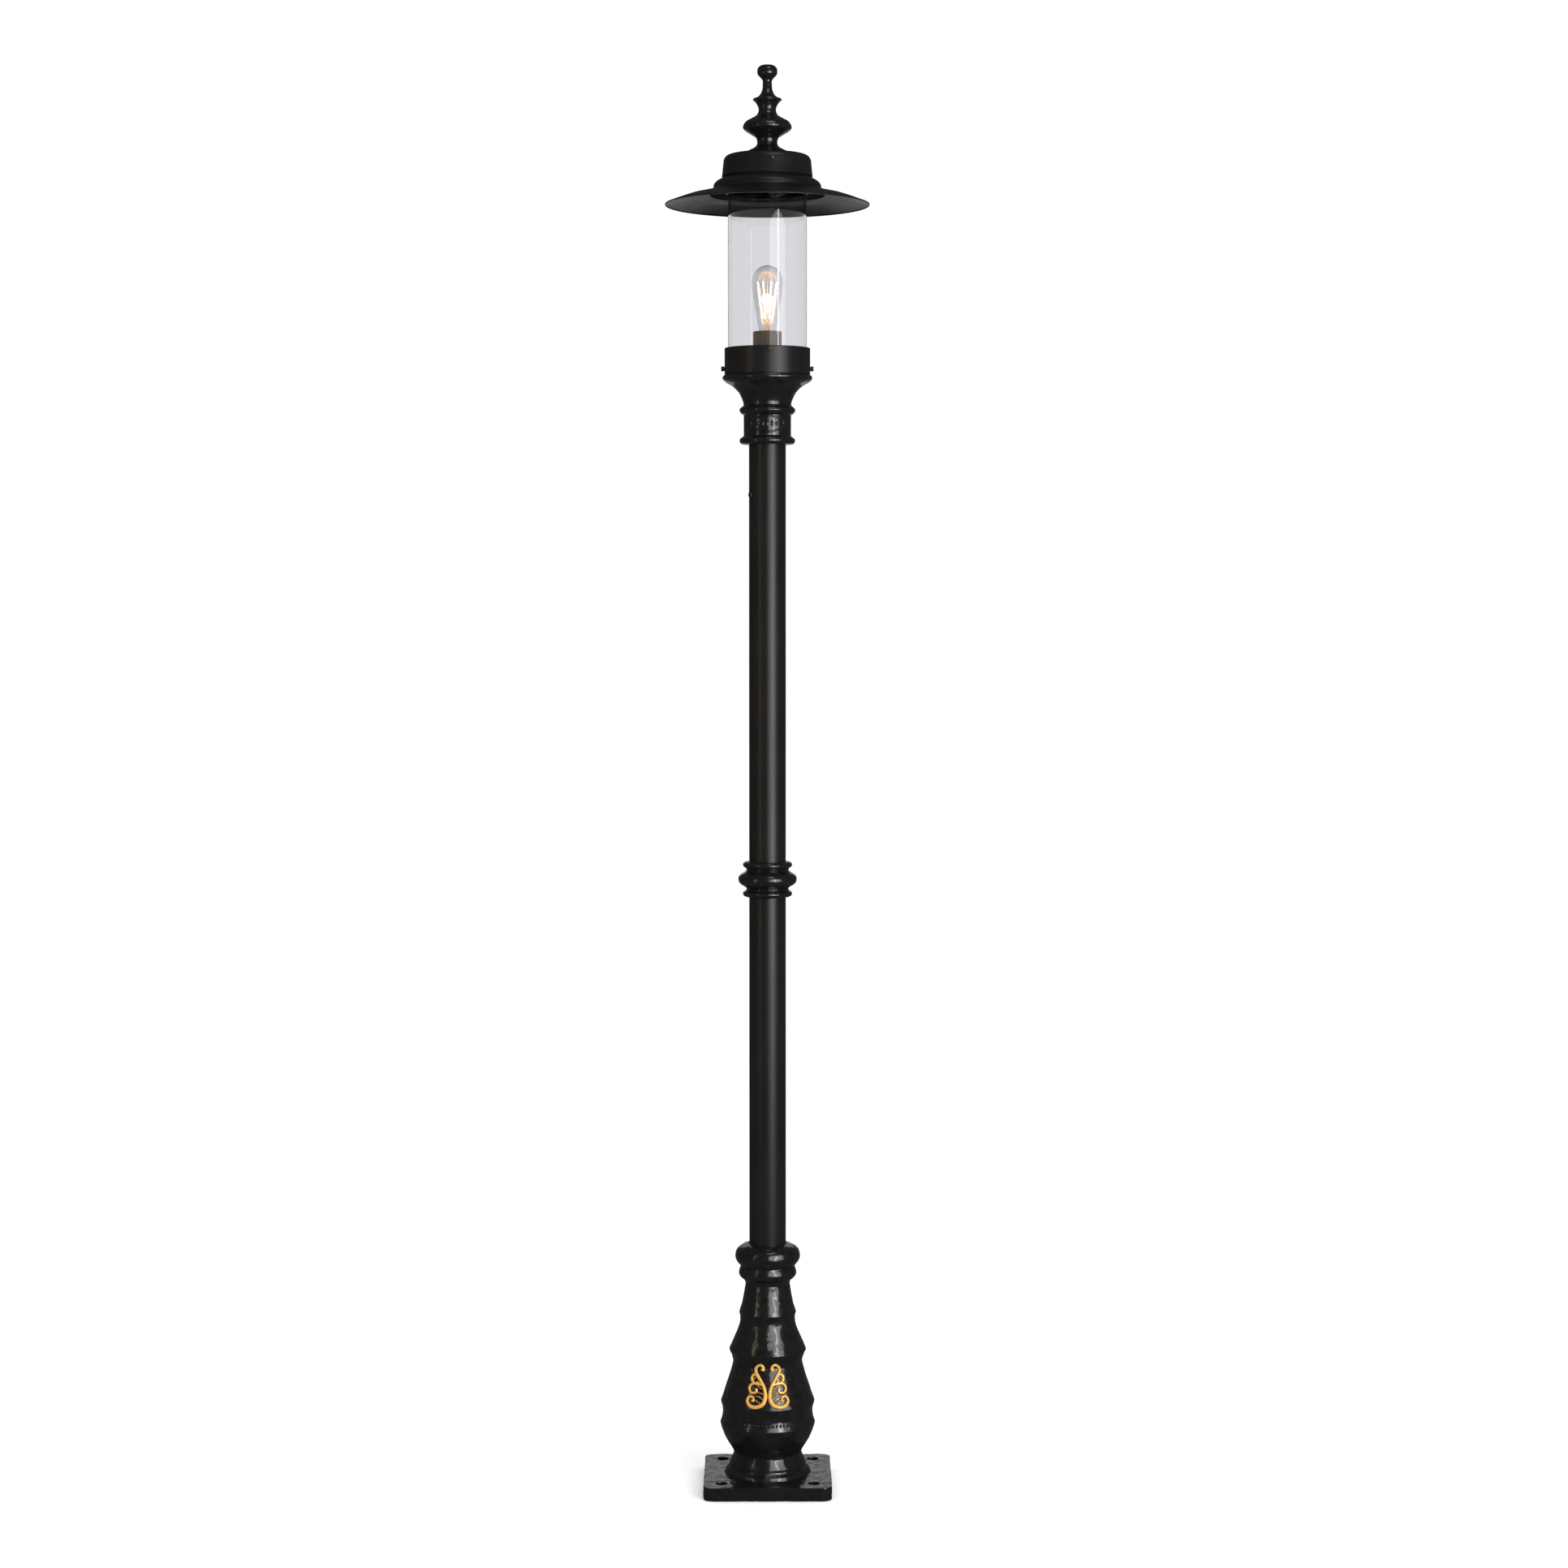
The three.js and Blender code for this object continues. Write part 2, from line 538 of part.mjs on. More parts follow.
// The brim is one spinning: a neck inside the crown, a flared step with a bead, and the wide brim.
function brim() {
  const neck = [[87.6, 2750], [90.4, 2716], [91.2, 2712.8]];
  const step = [[96, 2709.6], [103, 2705], [107.5, 2701.5], [110.2, 2697.5], [110.6, 2693], [112, 2688]];
  const line = [...neck, ...step, [162, 2676], [BRIM_R, BRIM_Z]];
  return piece("brim", cut(turned(sheet(line, 1.5), FINE), ...crownHoles()), satinBlack());
}

// The finial, from its flange up: waist, bulb, neck, disc, stem and ball, with a socket for the stud.
function finial() {
  const bottom = CROWN_TOP + 2 * GAP;
  const flange = [[STUD_R + 0.4, bottom], [43, bottom], [43, 2765.5], [38.6, 2768]];
  const waist = smooth([[27, 2774], [20.8, 2785.5], [23, 2794]], 3);
  const belly = smooth([[32.8, 2800], [44, 2807], [49.7, 2816], [43.7, 2827], [32.8, 2833]], 6);
  const neck = smooth([[22, 2840], [17.9, 2850], [20.2, 2860], [25, 2866]], 4);
  const disc = [[29.5, 2869.5], [28.7, 2873], [17, 2879], [10.3, 2892], [9.6, 2897], [9.6, 2909]];
  const ball = smooth([[13.6, 2915], [20.4, 2924], [20, 2932], [13.3, 2941.3]], 4);
  const socket = [[0, 2800], [STUD_R + 0.4, 2800]];
  const outline = [...flange, ...waist, ...belly, ...neck, ...disc, ...ball, [0, 2942], ...socket];
  return piece("finial", turned(outline, SLIM), castBlack());
}

function lanternTopGroup() {
  const group = new THREE.Group();
  const upperGasket = ring(74, 81.2, GLASS_TOP + GAP, 2703, FINE);
  group.add(piece("upper_gasket", upperGasket, rubber()), glassCapRing(), brim(), crown(), finial());
  CROWN_SCREW_ANGLES.forEach((angle, i) => {
    group.add(outwards(domeScrew(`crown_screw_${i + 1}`, 4.6, 2.4, 2.6, 10), angle, 91.2, CROWN_SCREW_Z));
  });
  group.add(piece("finial_stud", rod(STUD_R, 2738, 2798), zinc()));
  group.add(piece("finial_washer", ring(STUD_R + 0.4, 14, 2757.7, 2759.7), zinc()));
  group.add(piece("finial_nut", hexNut(STUD_R + 0.4, 10.5, 2749, 2757.4), zinc()));
  return group;
}

function glassCylinder() {
  const wall = ring(GLASS_R - GLASS_WALL, GLASS_R, GLASS_Z, GLASS_TOP, FINE);
  return piece("glass_cylinder", wall, clearGlass());
}

const lampPost = new THREE.Group();
lampPost.add(baseGroup(), postGroup(), supplyCable(), capital(), galleryGroup(), holderGroup());
lampPost.add(glassCylinder(), bulbCap(), bulbInsulator(), contactPip(), bulbGlass(), filamentCage());
lampPost.add(lanternTopGroup());

export default lampPost;
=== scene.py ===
"""The looks of a street lamp post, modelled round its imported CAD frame. Metres in Blender, millimetres in the
outlines below. +Z is up and the front is towards -Y."""

import json
import math

import bmesh
import bpy
import numpy
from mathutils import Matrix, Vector


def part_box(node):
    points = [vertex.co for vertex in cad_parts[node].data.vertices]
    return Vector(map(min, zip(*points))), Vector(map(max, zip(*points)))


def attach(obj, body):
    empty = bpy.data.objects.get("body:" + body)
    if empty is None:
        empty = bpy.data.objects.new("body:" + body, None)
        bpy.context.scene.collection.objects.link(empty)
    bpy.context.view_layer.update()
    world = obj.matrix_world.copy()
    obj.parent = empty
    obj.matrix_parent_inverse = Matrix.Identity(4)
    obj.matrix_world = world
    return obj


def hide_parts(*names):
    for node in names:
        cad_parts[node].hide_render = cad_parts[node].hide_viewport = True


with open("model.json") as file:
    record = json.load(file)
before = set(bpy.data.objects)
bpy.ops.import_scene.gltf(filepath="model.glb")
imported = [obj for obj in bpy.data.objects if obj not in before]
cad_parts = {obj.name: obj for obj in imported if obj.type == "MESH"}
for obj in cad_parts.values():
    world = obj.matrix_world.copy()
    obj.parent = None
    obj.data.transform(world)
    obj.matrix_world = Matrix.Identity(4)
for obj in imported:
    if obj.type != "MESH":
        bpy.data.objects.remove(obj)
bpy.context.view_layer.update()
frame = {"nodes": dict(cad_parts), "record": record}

bl_info = {
    "name": "Street lamp post",
    "version": (1, 0, 0),
    "blender": (4, 5, 0),
    "location": "View3D > Sidebar > Lamp post",
    "description": "Models the castings, spinnings, glass and lamp of a street lamp post",
    "category": "Add Mesh",
}

MM = 0.001
SAME_POINT = 2e-6  # metres: points of a turned piece that are this close are one point
BODY_OF = {n: b for b, nodes in frame["record"]["behaviour"]["bodies"].items() for n in nodes}
SLOT_OF = {s["node"]: s["material_slot"] for s in frame["record"]["subparts"]}


# ---- sizes and colours that a user would change ----
class LampPostSizes(bpy.types.PropertyGroup):
    cast_sides: bpy.props.IntProperty(
        name="Casting sides", description="Steps round a casting", default=168, min=24)
    tube_sides: bpy.props.IntProperty(
        name="Tube sides", description="Steps round a tube or spinning", default=128, min=24)
    screw_sides: bpy.props.IntProperty(
        name="Screw sides", description="Steps round a screw", default=36, min=12)
    casting_step: bpy.props.FloatProperty(
        name="Casting step", description="Spacing of a casting's rings, in mm", default=2.6, min=0.5)
    lump_height: bpy.props.FloatProperty(
        name="Lump height", description="Height of the sand casting's lumps, in mm", default=1.5, min=0)
    edge_radius: bpy.props.FloatProperty(
        name="Edge radius", description="Rounding of a casting's edges, in mm", default=1.0, min=0)
    lamp_strength: bpy.props.FloatProperty(
        name="Lamp strength", description="Brightness of the filaments", default=10.0, min=0)


class LampPostColours(bpy.types.PropertyGroup):
    enamel: bpy.props.FloatVectorProperty(
        name="Gloss enamel", description="Enamel of the castings", default=(0.0048, 0.0048, 0.0048),
        subtype="COLOR", size=3, min=0, max=1)
    satin: bpy.props.FloatVectorProperty(
        name="Satin enamel", description="Enamel of the tubes and spinnings",
        default=(0.0066, 0.0060, 0.0058), subtype="COLOR", size=3, min=0, max=1)
    gold: bpy.props.FloatVectorProperty(
        name="Gold paint", description="Paint of the scrolls", default=(0.78, 0.42, 0.10),
        subtype="COLOR", size=3, min=0, max=1)
    # painted shade: the brown that the gilt puts low on the scrolls' ribs, where they meet the skirt
    gold_painted_shade: bpy.props.FloatVectorProperty(
        name="Painted shade brown", description="Brown painted as shade low on the scrolls' ribs",
        default=(0.06, 0.022, 0.006), subtype="COLOR", size=3, min=0, max=1)
    glass: bpy.props.FloatVectorProperty(
        name="Glass tint", description="Tint of the lantern's glass", default=(0.82, 0.82, 0.84),
        subtype="COLOR", size=3, min=0, max=1)
    lamp: bpy.props.FloatVectorProperty(
        name="Lamp colour", description="Colour of the lit filaments", default=(1.0, 0.66, 0.30),
        subtype="COLOR", size=3, min=0, max=1)


def sizes():
    return bpy.context.scene.lamp_post_sizes


def colours():
    return bpy.context.scene.lamp_post_colours


# ---- outlines ----
def through(points, step=None):
    """Points on a smooth line through the given (radius, height) points, about a step apart."""
    step = step or sizes().casting_step
    ends = [points[0], *points, points[-1]]
    line = [points[0]]
    for p0, p1, p2, p3 in zip(ends, ends[1:], ends[2:], ends[3:]):
        count = max(1, round(math.dist(p1, p2) / step))
        for i in range(1, count + 1):
            t = i / count
            line.append(tuple(
                0.5 * (2 * b + (c - a) * t + (2 * a - 5 * b + 4 * c - d) * t**2
                       + (3 * b - a - 3 * c + d) * t**3)
                for a, b, c, d in zip(p0, p1, p2, p3)))
    return line


def outline(*stretches):
    """One line from several stretches, with the points that two of them share kept once."""
    line = []
    for stretch in stretches:
        line += [p for p in stretch if not line or math.dist(p, line[-1]) > 0.01]
    return line


def eased(line, radius, sharp=14):
    """The line with each corner sharper than some degrees cut into a small round of two steps. A holding
    point on each side keeps the round's shading off the straight walls beside it."""
    out = [line[0]]
    for before, at, after in zip(line, line[1:], line[2:]):
        a, b = Vector(at) - Vector(before), Vector(after) - Vector(at)
        turn = math.degrees(a.angle(b)) if a.length and b.length else 0
        if turn < sharp:
            out.append(at)
            continue
        start = Vector(at) - a.normalized() * min(radius, a.length * 0.45)
        end = Vector(at) + b.normalized() * min(radius, b.length * 0.45)
        middle = Vector(at) * 0.5 + (start + end) * 0.25
        if a.length > 5 * radius:
            out.append(tuple(Vector(at) - a.normalized() * radius * 2))
        out += [tuple(start), tuple(middle), tuple(end)]
        if b.length > 5 * radius:
            out.append(tuple(Vector(at) + b.normalized() * radius * 2))
    return [*out, line[-1]]


def shell(line, wall):
    """A thin spinning's outline: the line is its outside, from the top down, and its wall lies inside."""
    inside = []
    for i, at in enumerate(line):
        along = Vector(line[min(i + 1, len(line) - 1)]) - Vector(line[max(i - 1, 0)])
        along.normalize()
        inside.append((at[0] + along[1] * wall, at[1] - along[0] * wall))
    return [*line, *reversed(inside), line[0]]


def lifted(line, height):
    return [(r, z + height) for r, z in line]


def ring(inner, outer, low, high):
    """The closed outline of a plain ring or tube."""
    return [(inner, low), (outer, low), (outer, high), (inner, high), (inner, low)]


# ---- where the CAD pieces are, in millimetres ----
def foot(node):
    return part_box(node)[0].z / MM


def head(node):
    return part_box(node)[1].z / MM


def reach(node):
    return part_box(node)[1].x / MM


# ---- modelling ----
def deselect():
    if bpy.context.object and bpy.context.object.mode != "OBJECT":
        bpy.ops.object.mode_set(mode="OBJECT")
    bpy.ops.object.select_all(action="DESELECT")


def pick(*objects):
    deselect()
    for obj in objects:
        obj.select_set(True)
    bpy.context.view_layer.objects.active = objects[0]


def applied(obj):
    pick(obj)
    bpy.ops.object.transform_apply(location=True, rotation=True, scale=True)
    return obj


def joined(objects):
    pick(*objects)
    if len(objects) > 1:
        bpy.ops.object.join()
    return bpy.context.object


def modify(obj, kind, **settings):
    """Adds a modifier and applies it."""
    pick(obj)
    modifier = obj.modifiers.new(kind.title(), kind)
    for key, value in settings.items():
        setattr(modifier, key, value)
    bpy.ops.object.modifier_apply(modifier=modifier.name)
    return obj


def smooth(obj, angle=32):
    pick(obj)
    bpy.ops.object.shade_smooth_by_angle(angle=math.radians(angle))
    return obj


def turned(line, sides, angle=32):
    """Draws an outline of (radius, height) points by extruding one point, and spins it about the axis."""
    deselect()
    bpy.ops.mesh.primitive_plane_add(size=MM)
    bpy.ops.object.mode_set(mode="EDIT")
    bpy.ops.mesh.select_all(action="SELECT")
    bpy.ops.mesh.merge(type="CENTER")
    at = Vector((line[0][0] * MM, 0, line[0][1] * MM))
    bpy.ops.transform.translate(value=at)
    for r, z in line[1:]:
        to = Vector((r * MM, 0, z * MM))
        bpy.ops.mesh.extrude_region_move(TRANSFORM_OT_translate={"value": to - at})
        at = to
    bpy.ops.mesh.select_all(action="SELECT")
    bpy.ops.mesh.spin(steps=sides, angle=math.tau, center=(0, 0, 0), axis=(0, 0, 1))
    bpy.ops.mesh.select_all(action="SELECT")
    bpy.ops.mesh.remove_doubles(threshold=SAME_POINT)
    bpy.ops.mesh.dissolve_degenerate(threshold=1e-7)
    bpy.ops.mesh.select_all(action="SELECT")
    bpy.ops.mesh.delete_loose()
    bpy.ops.mesh.select_all(action="SELECT")
    bpy.ops.mesh.normals_make_consistent(inside=False)
    bpy.ops.object.mode_set(mode="OBJECT")
    return smooth(bpy.context.object, angle)


def cylinder(radius, bottom, top, sides, x=0.0, y=0.0):
    deselect()
    bpy.ops.mesh.primitive_cylinder_add(
        vertices=sides, radius=radius * MM, depth=(top - bottom) * MM,
        location=(x * MM, y * MM, (top + bottom) / 2 * MM))
    return applied(bpy.context.object)


def rod(a, b, radius, sides):
    """A round rod between two points, in millimetres, with its ends rounded."""
    a, b = Vector(a) * MM, Vector(b) * MM
    deselect()
    bpy.ops.mesh.primitive_cylinder_add(
        vertices=sides, radius=radius * MM, depth=(b - a).length, location=(a + b) / 2,
        rotation=(b - a).to_track_quat("Z", "Y").to_euler())
    obj = applied(bpy.context.object)
    modify(obj, "BEVEL", width=radius * MM * 0.5, segments=2, limit_method="ANGLE")
    return smooth(obj, 50)


def wire(points, radius, steps, roundness, radii=None, cyclic=False):
    """A round wire through points, in millimetres, as a mesh. It takes some steps from point to point, and
    radii thin or thicken it point by point."""
    deselect()
    bpy.ops.curve.primitive_bezier_curve_add()
    curve = bpy.context.object
    data = curve.data
    data.splines.clear()
    spline = data.splines.new("BEZIER")
    spline.bezier_points.add(len(points) - 1)
    for i, (knot, point) in enumerate(zip(spline.bezier_points, points)):
        knot.co = Vector(point) * MM
        knot.handle_left_type = knot.handle_right_type = "AUTO"
        knot.radius = radii[i] if radii else 1
    spline.use_cyclic_u = cyclic
    data.dimensions = "3D"
    data.bevel_depth = radius * MM
    data.bevel_resolution = roundness
    data.resolution_u = steps
    data.use_fill_caps = not cyclic
    bpy.ops.object.convert(target="MESH")
    bpy.ops.object.mode_set(mode="EDIT")
    bpy.ops.mesh.select_all(action="SELECT")
    bpy.ops.mesh.remove_doubles(threshold=1e-6)
    bpy.ops.mesh.normals_make_consistent(inside=False)
    bpy.ops.object.mode_set(mode="OBJECT")
    return applied(bpy.context.object)


def cut_away(obj, *tools):
    for tool in tools:
        modify(obj, "BOOLEAN", object=tool, operation="DIFFERENCE", solver="EXACT")
        bpy.data.objects.remove(tool)
    return obj


def fused(obj, voxel):
    """Melts overlapping shapes into one skin."""
    pick(obj)
    obj.data.remesh_voxel_size = voxel * MM
    bpy.ops.object.voxel_remesh()
    return modify(obj, "SMOOTH", factor=0.5, iterations=2)


def lumps(obj, height, size, name):
    """Raises and lowers the surface by real geometry, as a sand mould leaves it."""
    texture = bpy.data.textures.new(name, "CLOUDS")
    texture.noise_scale = size * MM
    texture.noise_depth = 2
    modify(obj, "DISPLACE", texture=texture, strength=height * MM, mid_level=0.5,
           texture_coords="LOCAL")
    bpy.data.textures.remove(texture)
    return obj


def cast(obj, scale=1.0):
    """The skin of a sand casting: broad lumps and a finer orange peel on them."""
    broad_size, fine_size, fine_share, shading_angle = 17, 6, 0.33, 50
    height = sizes().lump_height * scale
    lumps(obj, height, broad_size, "broad_lumps")
    lumps(obj, height * fine_share, fine_size, "fine_lumps")
    return smooth(obj, shading_angle)


def finish(obj, name, *nodes):
    """Names a piece, turns it right side out, and lets it stand for its CAD nodes on their body."""
    obj.name = obj.data.name = name
    mesh = bmesh.new()
    mesh.from_mesh(obj.data)
    volume = mesh.calc_volume(signed=True)
    mesh.free()
    if volume < 0:
        pick(obj)
        bpy.ops.object.mode_set(mode="EDIT")
        bpy.ops.mesh.select_all(action="SELECT")
        bpy.ops.mesh.flip_normals()
        bpy.ops.object.mode_set(mode="OBJECT")
    obj.data.materials.clear()
    obj.data.materials.append(finish_of(SLOT_OF[nodes[0]]))
    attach(obj, BODY_OF[nodes[0]])
    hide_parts(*nodes)
    return obj


# ---- finishes ----
class Nodes:
    """A material's nodes, with short calls for the ones used here."""

    def __init__(self, name):
        self.material = bpy.data.materials.new(name)
        self.material.use_nodes = True
        self.tree = self.material.node_tree
        self.shader = self.tree.nodes["Principled BSDF"]
        self.place = self.tree.nodes.new("ShaderNodeTexCoord").outputs["Object"]

    def set(self, **values):
        for key, value in values.items():
            self.shader.inputs[key.replace("_", " ")].default_value = value
        return self

    def add(self, kind, **inputs):
        node = self.tree.nodes.new(kind)
        for key, value in inputs.items():
            self.link(node.inputs[key.replace("_", " ")], value)
        return node

    def link(self, socket, value):
        if isinstance(value, bpy.types.NodeSocket):
            self.tree.links.new(value, socket)
        else:
            socket.default_value = value

    def stretched(self, x, y, z):
        node = self.add("ShaderNodeMapping", Vector=self.place)
        node.inputs["Scale"].default_value = (x, y, z)
        return node.outputs[0]

    def noise(self, scale, detail=3.0, roughness=0.55, vector=None):
        node = self.add("ShaderNodeTexNoise", Vector=vector or self.place, Scale=scale, Detail=detail,
                        Roughness=roughness)
        return node.outputs[0]

    def ramp(self, factor, *stops):
        node = self.add("ShaderNodeValToRGB", Fac=factor)
        elements = node.color_ramp.elements
        while len(elements) < len(stops):
            elements.new(0.5)
        for element, (position, colour) in zip(elements, stops):
            element.position = position
            element.color = (*colour, 1)
        return node.outputs[0]

    def between(self, factor, low, high):
        node = self.add("ShaderNodeMapRange", Value=factor, To_Min=low, To_Max=high)
        node.inputs["From Min"].default_value = 0.3
        node.inputs["From Max"].default_value = 0.7
        return node.outputs[0]

    def bump(self, *layers):
        """Layers of (height, strength, distance in mm), each lying on the last."""
        normal = None
        for height, strength, distance in layers:
            node = self.add("ShaderNodeBump", Height=height, Strength=strength, Distance=distance * MM)
            if normal:
                self.tree.links.new(normal, node.inputs["Normal"])
            normal = node.outputs[0]
        self.tree.links.new(normal, self.shader.inputs["Normal"])
        return self

    def colour(self, value):
        self.link(self.shader.inputs["Base Color"], value)
        return self

    def rough(self, value):
        self.link(self.shader.inputs["Roughness"], value)
        return self


def tint(colour, amount):
    return tuple(min(1.0, c * amount) for c in colour)


def cast_enamel():
    """Thick gloss enamel, brushed over a lumpy casting."""
    base = tuple(colours().enamel)
    n = Nodes("cast_enamel")
    broad, fine, pits = n.noise(70, 4), n.noise(330, 3), n.noise(900, 2)
    n.colour(n.ramp(broad, (0.3, tint(base, 0.7)), (0.7, tint(base, 1.5))))
    n.rough(n.between(fine, 0.13, 0.26))
    n.set(Specular_IOR_Level=0.5, Coat_Weight=0.35, Coat_Roughness=0.06)
    return n.bump((broad, 0.32, 1.2), (fine, 0.17, 0.4), (pits, 0.06, 0.12)).material


def satin_enamel():
    """Sprayed satin enamel with a slight orange peel."""
    base = tuple(colours().satin)
    n = Nodes("satin_enamel")
    cloud, peel = n.noise(9, 4), n.noise(620, 2)
    drift = n.noise(22, 4, vector=n.stretched(1, 1, 0.15))
    n.colour(n.ramp(cloud, (0.3, tint(base, 0.85)), (0.7, tint(base, 1.25))))
    n.rough(n.between(drift, 0.28, 0.35)).set(Specular_IOR_Level=0.36)
    return n.bump((peel, 0.16, 0.12)).material


def gilt():
    """Gold paint on the raised work, with painted shade: brown low on the ribs, where they meet the skirt, and
    a darker gold up their sides.
    """
    n = Nodes("gilt")
    relief = n.add("ShaderNodeAttribute")
    relief.attribute_name = "relief"
    worn = n.noise(420, 4)
    height = n.add("ShaderNodeMath")
    height.operation = "MULTIPLY_ADD"
    n.link(height.inputs[0], worn)
    height.inputs[1].default_value = 0.45
    n.link(height.inputs[2], relief.outputs["Fac"])
    gold = tuple(colours().gold)
    # painted shade: the ramp runs from brown where a rib meets the skirt, through darker gold on its sides, to
    # gold on its top
    colour = n.ramp(height.outputs[0], (0.68, tuple(colours().gold_painted_shade)), (0.84, tint(gold, 0.6)),
                    (0.97, gold))
    n.colour(colour).rough(n.between(worn, 0.24, 0.4)).set(Metallic=0.45)
    return n.bump((worn, 0.3, 0.35)).material


def black_screw():
    """Blackened steel, a little brighter where a key has rubbed it."""
    n = Nodes("black_screw")
    worn = n.noise(900, 4)
    n.colour(n.ramp(worn, (0.42, (0.014, 0.014, 0.015)), (0.68, (0.13, 0.13, 0.132))))
    return n.rough(n.between(worn, 0.24, 0.4)).set(Metallic=0.8).bump((worn, 0.15, 0.1)).material


def zinc_steel():
    n = Nodes("zinc_steel")
    cell = n.add("ShaderNodeTexVoronoi", Vector=n.place, Scale=260).outputs["Color"]
    grain = n.noise(500, 3)
    n.colour(n.ramp(cell, (0.2, (0.40, 0.41, 0.43)), (0.8, (0.58, 0.59, 0.60))))
    return n.rough(n.between(grain, 0.26, 0.42)).set(Metallic=1.0).bump((grain, 0.1, 0.1)).material


def brass():
    n = Nodes("brass")
    turning = n.noise(1400, 2, vector=n.stretched(0.05, 0.05, 1))
    cloud = n.noise(90, 4)
    n.colour(n.ramp(cloud, (0.3, (0.50, 0.33, 0.11)), (0.7, (0.72, 0.52, 0.22))))
    return n.rough(n.between(cloud, 0.2, 0.36)).set(Metallic=1.0).bump((turning, 0.2, 0.08)).material


def aged_bronze():
    """Brown antique bronze with streaks up and down."""
    n = Nodes("aged_bronze")
    streak = n.noise(160, 5, 0.65, n.stretched(1, 1, 0.08))
    grain = n.noise(700, 3)
    n.colour(n.ramp(streak, (0.32, (0.028, 0.017, 0.009)), (0.55, (0.085, 0.050, 0.022)),
                    (0.72, (0.17, 0.105, 0.045))))
    return n.rough(n.between(streak, 0.34, 0.55)).set(Metallic=0.7).bump((grain, 0.15, 0.1)).material


def porcelain():
    n = Nodes("porcelain")
    cloud = n.noise(60, 3)
    n.colour(n.ramp(cloud, (0.3, (0.74, 0.72, 0.66)), (0.7, (0.84, 0.82, 0.78))))
    return n.rough(n.between(cloud, 0.14, 0.24)).bump((n.noise(300, 2), 0.05, 0.1)).material


def nylon():
    n = Nodes("nylon")
    cloud = n.noise(80, 3)
    n.colour(n.ramp(cloud, (0.3, (0.60, 0.57, 0.48)), (0.7, (0.72, 0.70, 0.62))))
    return n.rough(n.between(cloud, 0.42, 0.58)).bump((n.noise(900, 2), 0.1, 0.08)).material


def rubber():
    n = Nodes("rubber")
    cloud = n.noise(140, 4)
    n.colour(n.ramp(cloud, (0.3, (0.010, 0.010, 0.010)), (0.7, (0.024, 0.023, 0.022))))
    return n.rough(n.between(cloud, 0.62, 0.82)).bump((n.noise(1200, 2), 0.2, 0.08)).material


def clear_glass():
    """Clear tube glass, with a faint draw line along it."""
    n = Nodes("clear_glass")
    draw = n.noise(40, 2, vector=n.stretched(1, 1, 0.03))
    base = tuple(colours().glass)
    n.colour(n.ramp(draw, (0.3, tint(base, 0.985)), (0.7, tint(base, 1.01))))
    n.rough(n.between(draw, 0.0, 0.012))
    return n.set(Transmission_Weight=1.0, IOR=1.47).bump((draw, 0.004, 0.3)).material


def lit_filament():
    """Lit lamp filaments on their wires, which glow faintly as painted light from the filaments."""
    n = Nodes("lit_filament")
    lit = n.add("ShaderNodeAttribute")
    lit.attribute_name = "lit"
    colour = n.ramp(n.noise(500, 2), (0.3, (0.70, 0.50, 0.26)), (0.7, (0.85, 0.66, 0.40)))
    strength = n.add("ShaderNodeMath")
    strength.operation = "MULTIPLY"
    n.link(strength.inputs[0], lit.outputs["Fac"])
    strength.inputs[1].default_value = sizes().lamp_strength
    n.colour(colour).rough(n.between(n.noise(300, 2), 0.25, 0.4)).set(Metallic=0.2)
    n.shader.inputs["Emission Color"].default_value = (*colours().lamp, 1)
    n.link(n.shader.inputs["Emission Strength"], strength.outputs[0])
    return n.material


FINISHES = {
    "cast_enamel": cast_enamel, "satin_enamel": satin_enamel, "gilt": gilt, "black_screw": black_screw,
    "zinc_steel": zinc_steel, "brass": brass, "aged_bronze": aged_bronze, "porcelain": porcelain,
    "nylon": nylon, "rubber": rubber, "clear_glass": clear_glass, "lit_filament": lit_filament,
}
made_finishes = {}


def finish_of(slot):
    if slot not in made_finishes:
        made_finishes[slot] = FINISHES[slot]()
    return made_finishes[slot]


def mark(obj, name, value_at):
    """Writes a number for each point of the mesh, which its material reads."""
    attribute = obj.data.attributes.new(name, "FLOAT", "POINT")
    for i, vertex in enumerate(obj.data.vertices):
        attribute.data[i].value = value_at(vertex.co / MM)


# ---- base ----
def middle_skirt():
    """The pedestal's middle skirt, above its own foot: the scrolls lie on it."""
    return [(97.8, 150.7), (88.6, 178), (79, 208), (73, 229), (72.2, 236), (75, 247.7), (80.4, 259.7)]


def skirt():
    """Gives a function for the middle skirt's radius at a height above the ground."""
    line = lifted(through(middle_skirt(), 1.0), foot("base_pedestal"))
    radii, heights = zip(*line)
    return lambda z: float(numpy.interp(z, heights, radii))


